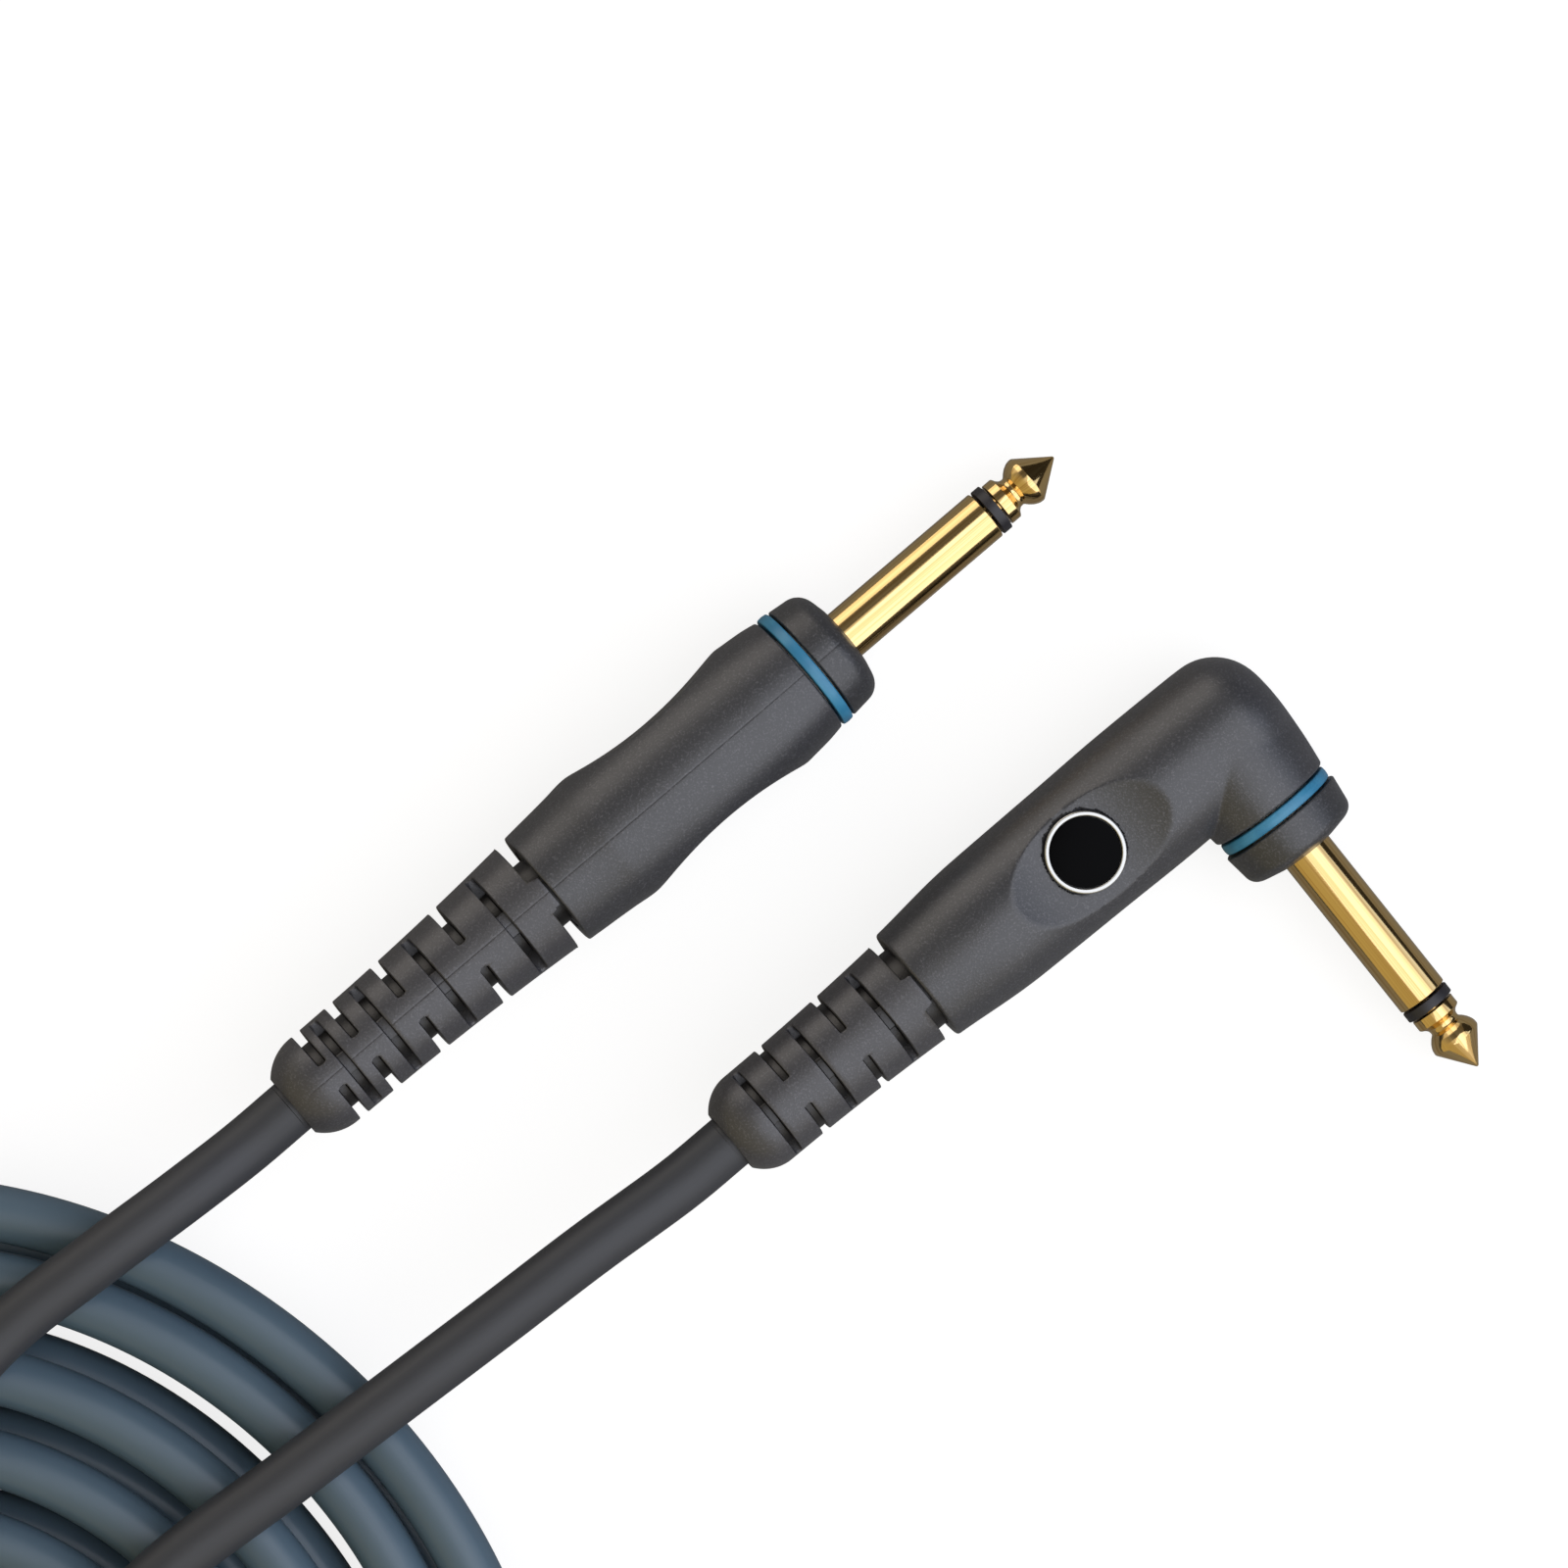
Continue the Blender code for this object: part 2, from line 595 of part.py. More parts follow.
def slot_cutter(name, sizes, parent):
    """All the slots of a strain relief as one cutter: they turn by a quarter from one to the next."""
    shape = bmesh.new()
    back, pitch = sizes.slot_at, sizes.slot_pitch
    for index in range(sizes.slot_count):
        sideways = index % 2 == 0
        shallow = relief_radius(sizes, back) - WEB_DEPTH
        outline = slot_outline(sizes.core, shallow, not sideways)
        bottom = sizes.front - back - sizes.slot_width / 2
        for turn in (0.0, math.pi):
            angle = turn + (math.pi / 2 if sideways else 0.0)
            corners = [Matrix.Rotation(angle, 3, "Z") @ Vector((x, y, bottom)) for x, y in outline]
            face = shape.faces.new([shape.verts.new(corner) for corner in corners])
            grown = bmesh.ops.extrude_face_region(shape, geom=[face])
            moved = [item for item in grown["geom"] if isinstance(item, bmesh.types.BMVert)]
            bmesh.ops.translate(shape, verts=moved, vec=(0.0, 0.0, sizes.slot_width))
        back += pitch
        pitch -= sizes.slot_pitch_loss
    bmesh.ops.recalc_face_normals(shape, faces=shape.faces)
    mesh = bpy.data.meshes.new(name)
    shape.to_mesh(mesh)
    shape.free()
    return place(bpy.data.objects.new(name, mesh), None, parent)


def strain_relief(name, sizes, mould_radius, parent):
    """Tapering sleeve of ribs with a spigot in the grip and a domed end, slotted so that it bends."""
    cone_length = sizes.length - sizes.dome_length
    cone_end = sizes.front - cone_length
    cone = [(relief_radius(sizes, back), sizes.front - back) for back in np.linspace(0.0, cone_length, 9)]
    last = math.acos(RELIEF_LIP / sizes.rear_radius)
    dome_depth = sizes.dome_length / math.sin(last)
    dome = [
        (sizes.rear_radius * math.cos(a), cone_end - dome_depth * math.sin(a))
        for a in np.linspace(0.0, last, 6)[1:]
    ]
    bore = CABLE_RADIUS + GAP
    spigot_front = sizes.front + SPIGOT_LENGTH
    outline = [(bore, spigot_front), (mould_radius, spigot_front), (mould_radius, sizes.front)]
    outline += cone + dome + [(bore, sizes.front - sizes.length)]
    made = turned(name, outline, RELIEF_RUBBER, parent, RELIEF_STEPS)
    boolean(made, slot_cutter(name + "_slots", sizes, parent), "DIFFERENCE")
    return made


# ---------------------------------------------------------------- straight plug


def barrel(crown_radius, end_radius, length, taper, power, count):
    """(distance, radius) pairs from a crown: the radius falls by a straight taper and a steepening curve."""
    shares = np.linspace(0.0, 1.0, count)
    curve = crown_radius - end_radius - taper
    return [(share * length, crown_radius - taper * share - curve * share**power) for share in shares]


def straight_grip(parent):
    """Barrel with a broad finger scoop on each side."""
    front = barrel(GRIP_CROWN_RADIUS, GRIP_FRONT_RADIUS, GRIP_CROWN_AT, 0.0, 3.6, 6)
    rear = barrel(GRIP_CROWN_RADIUS, GRIP_REAR_RADIUS, GRIP_LENGTH - GRIP_CROWN_AT, 0.0, 2.3, 7)
    crown = GRIP_FRONT - GRIP_CROWN_AT
    bore = MOULD_RADIUS + GAP
    outline = [(bore, GRIP_FRONT)]
    outline += [(radius, crown + along) for along, radius in reversed(front)]
    outline += [(radius, crown - along) for along, radius in rear[1:]]
    outline.append((bore, GRIP_FRONT - GRIP_LENGTH))
    grip = turned("straight_grip", outline, GRIP_RUBBER, parent)
    for side in (1, -1):
        boolean(grip, side_scoop(f"side_scoop_{side}", side, parent), "DIFFERENCE")
    return grip


def side_scoop(name, side, parent):
    """Cutter whose inner wall is part of a large cylinder with its axis along local Y."""
    middle = GRIP_FRONT - SCOOP_AT
    reach = math.asin(SCOOP_REACH / SCOOP_RADIUS)
    centre = SCOOP_HALF_WIDTH + SCOOP_RADIUS
    curve = [
        (side * (centre - SCOOP_RADIUS * math.cos(a)), SCOOP_RADIUS * math.sin(a))
        for a in np.linspace(-reach, reach, 13)
    ]
    far = side * (centre - SCOOP_RADIUS / 2)
    outline = curve + [(far, curve[-1][1]), (far, curve[0][1])]
    frame = new_frame(name + "_frame", (0.0, 0.0, middle), Matrix.Rotation(math.pi / 2, 3, "X"), parent)
    return extruded(name, outline, -2 * GRIP_CROWN_RADIUS, 2 * GRIP_CROWN_RADIUS, None, frame)


def straight_mould(parent):
    """Hard carrier under the grip: bored for the sleeve, hollow round the wires, bored for the cable."""
    rear = STRAIGHT_RELIEF.front + SPIGOT_LENGTH + GAP
    cavity_rear = rear + MOULD_BORE_LENGTH
    outline = [
        (SLEEVE_RADIUS + GAP, MOULD_FRONT),
        (MOULD_RADIUS, MOULD_FRONT),
        (MOULD_RADIUS, rear),
        (CABLE_RADIUS + GAP, rear),
        (CABLE_RADIUS + GAP, cavity_rear),
        (CAVITY_RADIUS, cavity_rear),
        (CAVITY_RADIUS, -SLEEVE_TAIL),
        (SLEEVE_RADIUS + GAP, -SLEEVE_TAIL),
    ]
    return turned("straight_inner_mould", outline, CARRIER_PLASTIC, parent, INNER_STEPS)


def cable_end(name, front, relief, parent):
    """Jacket inside the plug, from the wires to just past the strain relief's lip."""
    rear = relief.front - relief.length - CABLE_SHOWS
    outline = [(0.0, front), (CABLE_RADIUS, front), (CABLE_RADIUS, rear), (0.0, rear)]
    turned(name, outline, JACKET, parent, INNER_STEPS)
    return rear


def shield_pigtail(name, start, stops, parent):
    """Twisted shield, from the jacket's end forwards past the places of the stops."""
    heights = [start] + [-stop for stop in stops]
    points = np.array([(0.0, -SHIELD_OFFSET, height) for height in heights])
    tube_along(name, points, SHIELD_RADIUS, COPPER, 1, parent)


def straight_wiring(parent):
    rear = cable_end("straight_cable_end", -CABLE_END_AT, STRAIGHT_RELIEF, parent)
    core_rear = -(CABLE_END_AT - GAP)
    core_front = core_rear + CORE_LENGTH
    outline = [(0.0, core_front), (CORE_RADIUS, core_front), (CORE_RADIUS, core_rear), (0.0, core_rear)]
    turned("straight_core_insulation", outline, CORE_PLASTIC, parent, SMALL_STEPS)
    under_lug = LUG_TONGUE_HEIGHT - GAP - STRAND_RADIUS
    strand = [(0.0, 0.0, core_front + GAP), (0.0, under_lug / 2, -STRAND_BENDS[0]),
              (0.0, under_lug, -STRAND_BENDS[1]), (0.0, under_lug, -STRAND_END)]
    tube_along("straight_core_wire", np.array(strand), STRAND_RADIUS, COPPER, 1, parent)
    shield_pigtail("straight_shield_pigtail", core_rear, SHIELD_STOPS, parent)
    return rear


def straight_plug():
    frame = plug_frame("straight_plug", STRAIGHT_SEAT, STRAIGHT_HEADING, STRAIGHT_PITCH, STRAIGHT_ROLL)
    pin("straight", frame)
    ground_clamp("straight_ground_clamp", frame, frame, CLAMP_TOP - CLAMP_THICKNESS / 4, -CRIMP_AT)
    straight_mould(frame)
    straight_grip(frame)
    colour_ring("straight_colour_ring", STRAIGHT_HEAD, MOULD_RADIUS, frame)
    nose_cap("straight_nose_cap", STRAIGHT_HEAD, MOULD_RADIUS, frame)
    strain_relief("straight_strain_relief", STRAIGHT_RELIEF, MOULD_RADIUS, frame)
    exit_height = straight_wiring(frame)
    return frame, frame, exit_height


# ---------------------------------------------------------------- right-angle plug


def angled_grip(head, body):
    """Elbow: a round-ended body joined to a branch, with a leaf-shaped scoop on both broad faces."""
    rear = barrel(BODY_CROWN_RADIUS, BODY_REAR_RADIUS, BODY_REAR - BODY_CROWN_AT, BODY_TAPER, 6.0, 9)
    corner = arc((BODY_END_RADIUS - BODY_CORNER, BODY_END - BODY_CORNER), BODY_CORNER, math.pi / 2, 0.0, 7)
    outline = [(0.0, BODY_END)] + corner
    outline += [(radius, -BODY_CROWN_AT - along) for along, radius in rear]
    outline.append((0.0, -BODY_REAR))
    grip = turned("angled_grip", outline, GRIP_RUBBER, body)
    branch_root = -(BRANCH_LENGTH + BRANCH_ROOT_STEP)
    branch = [
        (0.0, GRIP_FRONT),
        (BRANCH_FRONT_RADIUS - BRANCH_EDGE, GRIP_FRONT),
        (BRANCH_FRONT_RADIUS, GRIP_FRONT - BRANCH_EDGE),
        (BRANCH_ROOT_RADIUS, -(BRANCH_LENGTH - BRANCH_ROOT_STEP)),
        (BRANCH_ROOT_RADIUS - BRANCH_ROOT_STEP, branch_root),
        (0.0, branch_root),
    ]
    boolean(grip, turned("branch", branch, None, head), "UNION")
    body_bore, branch_bore = MOULD_RADIUS + GAP, BRANCH_MOULD_RADIUS + GAP
    boolean(grip, cylinder("body_bore", body_bore, -2 * BODY_REAR, body_bore, body), "DIFFERENCE")
    boolean(grip, cylinder("branch_bore", branch_bore, -BRANCH_LENGTH, branch_bore, head), "DIFFERENCE")
    for side in (1, -1):
        boolean(grip, leaf_scoop(f"leaf_scoop_{side}", side, body), "DIFFERENCE")
    seat = badge_seat(body)
    boolean(grip, cylinder("badge_pocket", BADGE_RADIUS + GAP, -GAP, 2 * LEAF_DEPTH, seat), "DIFFERENCE")
    return grip


def leaf_sagitta_radius():
    half = LEAF_LENGTH / 2
    return (half**2 + LEAF_DEPTH**2) / (2 * LEAF_DEPTH)


def leaf_floor():
    """Distance of the scoop's floor from the body's axis."""
    return BODY_END_RADIUS - LEAF_DEPTH


def leaf_scoop(name, side, body):
    """Cutter whose floor is part of a cylinder with its axis along the body's local X."""
    radius = leaf_sagitta_radius()
    centre = leaf_floor() + radius
    reach = math.asin(min(0.99, (LEAF_LENGTH / 2 + LEAF_MARGIN) / radius))
    curve = [
        (radius * math.sin(a), side * (centre - radius * math.cos(a)))
        for a in np.linspace(-reach, reach, 15)
    ]
    far = side * 3 * BODY_CROWN_RADIUS
    outline = curve + [(curve[-1][0], far), (curve[0][0], far)]
    frame = new_frame(name + "_frame", (0.0, 0.0, -LEAF_AT), Matrix.Rotation(-math.pi / 2, 3, "Y"), body)
    return extruded(name, outline, -2 * BODY_CROWN_RADIUS, 2 * BODY_CROWN_RADIUS, None, frame)


def badge_seat(body):
    """Frame on the floor of the badge's pocket, with its Z along the body's local Y."""
    floor = leaf_floor() - BADGE_POCKET_DEPTH + GAP
    return new_frame("badge_seat", (0.0, floor, -LEAF_AT), Matrix.Rotation(-math.pi / 2, 3, "X"), body)


def badge(body):
    """Plain domed disc and the bright rim round it."""
    seat = badge_seat(body)
    inner = BADGE_RADIUS - BADGE_RIM_WIDTH
    edge = BADGE_RIM_WIDTH / 3
    rim = [
        (inner, 0.0), (inner, BADGE_RIM_HEIGHT - edge), (inner + edge, BADGE_RIM_HEIGHT),
        (BADGE_RADIUS - edge, BADGE_RIM_HEIGHT), (BADGE_RADIUS, BADGE_RIM_HEIGHT - edge), (BADGE_RADIUS, 0.0),
    ]
    turned("angled_badge_rim", rim, SILVER, seat)
    disc_radius = inner - GAP
    dome = [
        (disc_radius * share, BADGE_DISC_HEIGHT + BADGE_DOME_RISE * (1 - share**2))
        for share in np.linspace(0.0, 1.0, 5)
    ]
    turned("angled_badge_disc", dome + [(disc_radius, 0.0), (0.0, 0.0)], GLOSS_BLACK, seat)


def angled_mould(head, body):
    """Elbow-shaped carrier: two barrels joined, hollowed and bored for the sleeve and the cable."""
    rear = ANGLED_RELIEF.front + SPIGOT_LENGTH + GAP
    cavity_rear = rear + MOULD_BORE_LENGTH
    end = BRANCH_MOULD_RADIUS
    outline = [(0.0, end), (MOULD_RADIUS, end), (MOULD_RADIUS, rear), (0.0, rear)]
    mould = turned("angled_inner_mould", outline, CARRIER_PLASTIC, body, INNER_STEPS)
    branch = cylinder("mould_branch", BRANCH_MOULD_RADIUS, -BRANCH_LENGTH, MOULD_FRONT, head)
    boolean(mould, branch, "UNION")
    cuts = (
        ("mould_body_cavity", CAVITY_RADIUS, cavity_rear, BRANCH_CAVITY_RADIUS, body),
        ("mould_branch_cavity", BRANCH_CAVITY_RADIUS, -BRANCH_LENGTH, -SLEEVE_TAIL, head),
        ("mould_sleeve_bore", SLEEVE_RADIUS + GAP, -(SLEEVE_TAIL + GAP), 0.0, head),
        ("mould_cable_bore", CABLE_RADIUS + GAP, 2 * rear, cavity_rear + GAP, body),
    )
    for name, radius, bottom, top, frame in cuts:
        boolean(mould, cylinder(name, radius, bottom, top, frame), "DIFFERENCE")
    return mould


def angled_wiring(head, body):
    rear = cable_end("angled_cable_end", -ANGLED_CABLE_END_AT, ANGLED_RELIEF, body)
    core_rear = -(ANGLED_CABLE_END_AT - GAP)
    core_front = core_rear + ANGLED_CORE_LENGTH
    outline = [(0.0, core_front), (CORE_RADIUS, core_front), (CORE_RADIUS, core_rear), (0.0, core_rear)]
    turned("angled_core_insulation", outline, CORE_PLASTIC, body, SMALL_STEPS)
    under_lug = LUG_TONGUE_HEIGHT - GAP - STRAND_RADIUS
    depth = BRANCH_LENGTH
    (out, first), (back, second) = ANGLED_STRAND_BENDS
    strand = [
        (core_front + GAP, 0.0, -depth), (core_front / 2, 0.0, -depth),
        (out, under_lug / 2, -(depth + first)), (back, under_lug, -(depth + second)),
        (0.0, under_lug, -ANGLED_STRAND_END),
    ]
    tube_along("angled_core_wire", np.array(strand), STRAND_RADIUS, COPPER, 1, head)
    shield_pigtail("angled_shield_pigtail", core_rear, ANGLED_SHIELD_STOPS, body)
    return rear


def angled_plug():
    head = plug_frame("angled_plug", ANGLED_SEAT, ANGLED_HEADING, ANGLED_PITCH, ANGLED_ROLL)
    elbow = Matrix.Rotation(ELBOW_ANGLE, 3, "Y")
    body = new_frame("angled_plug_body", (0.0, 0.0, -BRANCH_LENGTH), elbow, head)
    pin("angled", head)
    arm_top = CLAMP_TONGUE_WIDTH / 2
    ground_clamp("angled_ground_clamp", head, body, arm_top, -ANGLED_CRIMP_AT)
    angled_mould(head, body)
    angled_grip(head, body)
    badge(body)
    colour_ring("angled_colour_ring", ANGLED_HEAD, BRANCH_MOULD_RADIUS, head)
    nose_cap("angled_nose_cap", ANGLED_HEAD, BRANCH_MOULD_RADIUS, head)
    strain_relief("angled_strain_relief", ANGLED_RELIEF, MOULD_RADIUS, body)
    exit_height = angled_wiring(head, body)
    return head, body, exit_height


# ---------------------------------------------------------------- where things lie


def plug_frame(name, seat, heading, pitch, roll):
    """Frame of a plug: Z along the pin at a heading and nose-down pitch, Y up, then turned by the roll."""
    level = math.cos(pitch)
    forward = Vector((math.cos(heading) * level, math.sin(heading) * level, -math.sin(pitch)))
    sideways = Vector((0.0, 0.0, 1.0)).cross(forward).normalized()
    upwards = forward.cross(sideways)
    axes = Matrix((sideways, upwards, forward)).transposed()
    return new_frame(name, (seat[0], seat[1], 0.0), axes @ Matrix.Rotation(roll, 3, "Z"))


def drop_to_floor(frame):
    """Lowers or lifts a plug until its lowest point lies on the floor."""
    bpy.context.view_layer.update()
    graph = bpy.context.evaluated_depsgraph_get()
    lowest = 1.0
    for item in frame.children_recursive:
        if item.type == "EMPTY" or item.hide_render:
            continue
        evaluated = item.evaluated_get(graph)
        mesh = evaluated.to_mesh()
        heights = np.empty(len(mesh.vertices) * 3, np.float32)
        mesh.vertices.foreach_get("co", heights)
        world = np.array(item.matrix_world)
        lowest = min(lowest, (heights.reshape(-1, 3) @ world[2, :3] + world[2, 3]).min())
        evaluated.to_mesh_clear()
    frame.location.z -= float(lowest)
    bpy.context.view_layer.update()


def cable_exit(frame, height):
    """Where the cable leaves a strain relief, and the way it points."""
    world = frame.matrix_world
    return world @ Vector((0.0, 0.0, height)), -world.col[2].to_3d().normalized()


# ---------------------------------------------------------------- cable


def outer_support(angle):
    """Support distance of the outermost oval, whose bend radius goes with the fourth power of a cosine."""
    spread = COIL_BROAD_BEND - COIL_NARROW_BEND
    mean = COIL_NARROW_BEND + spread * 3 / 8
    return mean - spread / 6 * np.cos(2 * angle) - spread / 120 * np.cos(4 * angle)


def pitch_share(angle):
    """Share of the full pitch that the turns take up, by direction: they lie closest at the narrow side."""
    rest = 1 - COIL_SIDE_SQUEEZE - COIL_OVAL_SQUEEZE
    return rest + COIL_SIDE_SQUEEZE * np.cos(angle) + COIL_OVAL_SQUEEZE * np.cos(2 * angle)


def smooth_step(share):
    share = np.clip(share, 0.0, 1.0)
    return share * share * (3 - 2 * share)


def coil_course(wound):
    """Centre line of the coil for angles wound from its inner end, and the way it runs there.

    The lower layer winds outwards and the upper one inwards, with a smooth reversal between them, in which
    the cable climbs by one layer. With H the support distance at a direction n, and t the direction a quarter
    turn on, the point is centre + H n + H' t, and the cable runs along -t.
    """
    full = 2 * math.pi
    reversal = COIL_LOWER_TURNS * full
    past = wound - reversal
    change = (COIL_LOWER_PITCH + COIL_UPPER_PITCH) * COIL_REVERSAL / full
    inset = COIL_OUTER_INSET - COIL_LOWER_PITCH * past / full
    inset = inset + change * np.logaddexp(0, past / COIL_REVERSAL)
    end = (COIL_LOWER_TURNS + COIL_UPPER_TURNS) * full
    for tail in (wound, end - wound):
        inset = inset + COIL_TAIL_INSET * smooth_step(1 - tail / COIL_TAIL_ANGLE)
    sway = np.zeros(len(wound))
    for distance, turns, half_angle in COIL_SWAYS:
        share = np.clip(np.abs(past - turns * full) / half_angle, 0.0, 1.0)
        sway += distance * np.cos(share * math.pi / 2) ** 2
    direction = COIL_START - wound
    lean = direction - COIL_LEAN
    support = outer_support(lean) - inset * pitch_share(lean) + sway
    slope = np.gradient(support, direction)
    normal = np.column_stack([np.cos(direction), np.sin(direction)])
    tangent = np.column_stack([-np.sin(direction), np.cos(direction)])
    ground = np.array(COIL_CENTRE) + support[:, None] * normal + slope[:, None] * tangent
    height = COIL_LOWER_HEIGHT + COIL_LAYER_RISE * smooth_step(past / math.pi + 0.5)
    return np.column_stack([ground, height]), np.column_stack([-tangent, np.zeros(len(wound))])


def coil_points():
    """Points of the coil's tube, with a straight run of one diameter at each end, and its end directions."""
    end = (COIL_LOWER_TURNS + COIL_UPPER_TURNS) * 2 * math.pi
    per_turn = 20 * POINTS_A_TURN
    count = round(end / (2 * math.pi) * POINTS_A_TURN)
    fine = np.linspace(0.0, end, round(end / (2 * math.pi) * per_turn) + 1)
    course, ways = coil_course(fine)
    wanted = np.linspace(0.0, end, count + 1)
    points = np.column_stack([np.interp(wanted, fine, course[:, axis]) for axis in range(3)])
    first, last = ways[0], ways[-1]
    run = 2 * CABLE_RADIUS
    points = np.vstack([points[0] - run * first, points, points[-1] + run * last])
    return points, first, last


def segment_gap(points, others, skip):
    """Least distance from the points to the others' polyline, leaving out pairs nearer than skip steps."""
    starts, steps = others[:-1], np.diff(others, axis=0)
    away = points[:, None, :] - starts[None, :, :]
    share = np.clip((away * steps).sum(axis=2) / (steps**2).sum(axis=1), 0.0, 1.0)
    distance = np.linalg.norm(away - share[:, :, None] * steps[None, :, :], axis=2)
    if skip is not None:
        rows = np.arange(len(points))[:, None]
        columns = np.arange(len(starts))[None, :]
        distance[np.abs(rows - columns) < skip] = np.inf
    return distance.min()


def lead(name, frame, exit_height, route, coil_end, coil_way):
    """Free stretch of cable: straight out of the strain relief, along its route, straight into the coil."""
    leaves, out = cable_exit(frame, exit_height)
    run = 2 * CABLE_RADIUS
    start = leaves + GAP * out
    end = coil_end + GAP * coil_way
    stops = [start, start + run * out, *route, end + run * coil_way, end]
    points = smooth_route(stops, LEAD_POINT_SPACING, run)
    tube_along(name, points, CABLE_RADIUS, JACKET, 2)
    return points


def length_of(points):
    return float(np.linalg.norm(np.diff(points, axis=0), axis=1).sum())


def cable(straight, angled):
    points, first, last = coil_points()
    tube_along("cable_coil", points, CABLE_RADIUS, JACKET, 1)
    one = lead("cable_lead_straight", *straight[1:], STRAIGHT_ROUTE, points[-1], last)
    other = lead("cable_lead_angled", *angled[1:], ANGLED_ROUTE, points[0], -first)
    width = 2 * CABLE_RADIUS
    turn_gap = segment_gap(points, points, POINTS_A_TURN // 2) - width
    lead_gap = min(segment_gap(run[:-2], points[2:-2], None) for run in (one, other)) - width
    total = length_of(points) + length_of(one) + length_of(other)
    print(f"least gap of the coil to itself: {1000 * turn_gap:.2f} mm")
    print(f"least gap of a lead to the coil: {1000 * lead_gap:.2f} mm")
    print(f"length of the cable between the strain reliefs: {total:.3f} m")


def main():
    straight = straight_plug()
    angled = angled_plug()
    for plug in (straight, angled):
        drop_to_floor(plug[0])
    cable(straight, angled)


main()
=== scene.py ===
"""Instrument cable with a straight and a right-angle plug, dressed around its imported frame.

Each plug has its own frame: Z runs out along the pin, with zero on the face that the sleeve comes out of, Y
points at the side that lies upwards, and X points sideways. The right-angle plug has a second frame for its
body: Z runs from the cable towards the elbow, with zero where the two axes cross. All lengths are in metres.
"""

import logging
import math
from collections.abc import Callable, Sequence
from dataclasses import dataclass, field
from enum import Enum
from functools import cache

import bpy
import numpy as np
from mathutils import Matrix, Vector


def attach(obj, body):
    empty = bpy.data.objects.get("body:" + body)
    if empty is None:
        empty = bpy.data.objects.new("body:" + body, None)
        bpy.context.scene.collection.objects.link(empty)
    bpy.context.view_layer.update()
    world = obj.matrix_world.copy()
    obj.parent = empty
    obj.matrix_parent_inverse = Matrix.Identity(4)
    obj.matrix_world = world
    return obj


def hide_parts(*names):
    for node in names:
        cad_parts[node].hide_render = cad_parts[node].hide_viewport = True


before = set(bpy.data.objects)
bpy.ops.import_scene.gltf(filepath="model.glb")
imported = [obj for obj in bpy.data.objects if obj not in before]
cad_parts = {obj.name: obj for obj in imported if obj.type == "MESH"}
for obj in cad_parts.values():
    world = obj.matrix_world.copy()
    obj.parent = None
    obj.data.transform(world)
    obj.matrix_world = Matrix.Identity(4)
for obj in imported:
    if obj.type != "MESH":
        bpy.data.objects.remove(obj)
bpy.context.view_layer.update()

MM = 0.001
TURN = 2 * math.pi
GAP = 0.3 * MM  # clearance between neighbouring pieces
BODY = "root"

Place = tuple[float, float, float]
Stations = tuple[tuple[float, float], ...]  # (place, value) in millimetres
Field = Callable[[np.ndarray], np.ndarray]

log = logging.getLogger("instrument_cable")


# ---------------------------------------------------------------- grids, outlines and meshes


class Ends(Enum):
    """How the first and the last row of a grid are closed."""

    LOOP = "the last row joins the first"
    CAPS = "a fan of triangles closes each end"


def turned_columns(count: int, seams: Sequence[float] = (), fine: Sequence[float] = ()) -> np.ndarray:
    """Angles round an axis: even ones, and close ones where a moulding seam or a fine detail runs.

    Args:
        count: Number of even angles.
        seams: Angles in degrees that get four more columns, half a degree apart.
        fine: Two angles in degrees, between which the spacing is halved.

    Returns:
        Sorted angles in radians.
    """
    parts = [np.arange(count) * 360.0 / count]
    parts += [seam + np.array([-1.0, -0.5, 0.5, 1.0]) for seam in seams]
    if fine:
        parts.append(np.arange(fine[0], fine[1], 180.0 / count))
    return np.radians(np.unique(np.round(np.concatenate(parts) % 360.0, 6)))


def turned_grid(profile: np.ndarray, angles: np.ndarray) -> np.ndarray:
    """Surface of revolution: the point at (radius, height) and angle is (r cos a, r sin a, h).

    Args:
        profile: Rows of (radius, height), or of these per angle.
        angles: Angles round the axis.

    Returns:
        Grid of points, rows along the profile and columns round the axis.
    """
    if profile.ndim == 2:
        profile = np.repeat(profile[:, None, :], len(angles), axis=1)
    radius, height = profile[..., 0], profile[..., 1]
    return np.stack([radius * np.cos(angles), radius * np.sin(angles), height], axis=2)


def rounded_outline(corners: Sequence[Sequence[float]], closed: bool, steps: int = 5) -> np.ndarray:
    """Outline whose corners are tangent arcs: an arc's centre lies on the corner's bisector.

    Args:
        corners: (radius, height, fillet) of each corner.
        closed: Whether the last corner joins the first.
        steps: Chords in each arc.

    Returns:
        Rows of (radius, height).
    """
    places = np.array([corner[:2] for corner in corners], float)
    pieces = []
    for i, (place, (_, _, fillet)) in enumerate(zip(places, corners)):
        if not fillet or (not closed and i in (0, len(corners) - 1)):
            pieces.append(place[None, :])
            continue
        before = places[i - 1] - place
        after = places[(i + 1) % len(places)] - place
        before, after = before / np.linalg.norm(before), after / np.linalg.norm(after)
        half = math.acos(np.clip(before @ after, -1.0, 1.0)) / 2
        bisector = (before + after) / np.linalg.norm(before + after)
        centre = place + bisector * fillet / math.sin(half)
        share = np.linspace(0.0, 1.0, steps + 1)[:, None]
        chord = (place - centre) + fillet / math.tan(half) * (before * (1 - share) + after * share)
        pieces.append(centre + fillet * chord / np.linalg.norm(chord, axis=1, keepdims=True))
    return np.vstack(pieces)


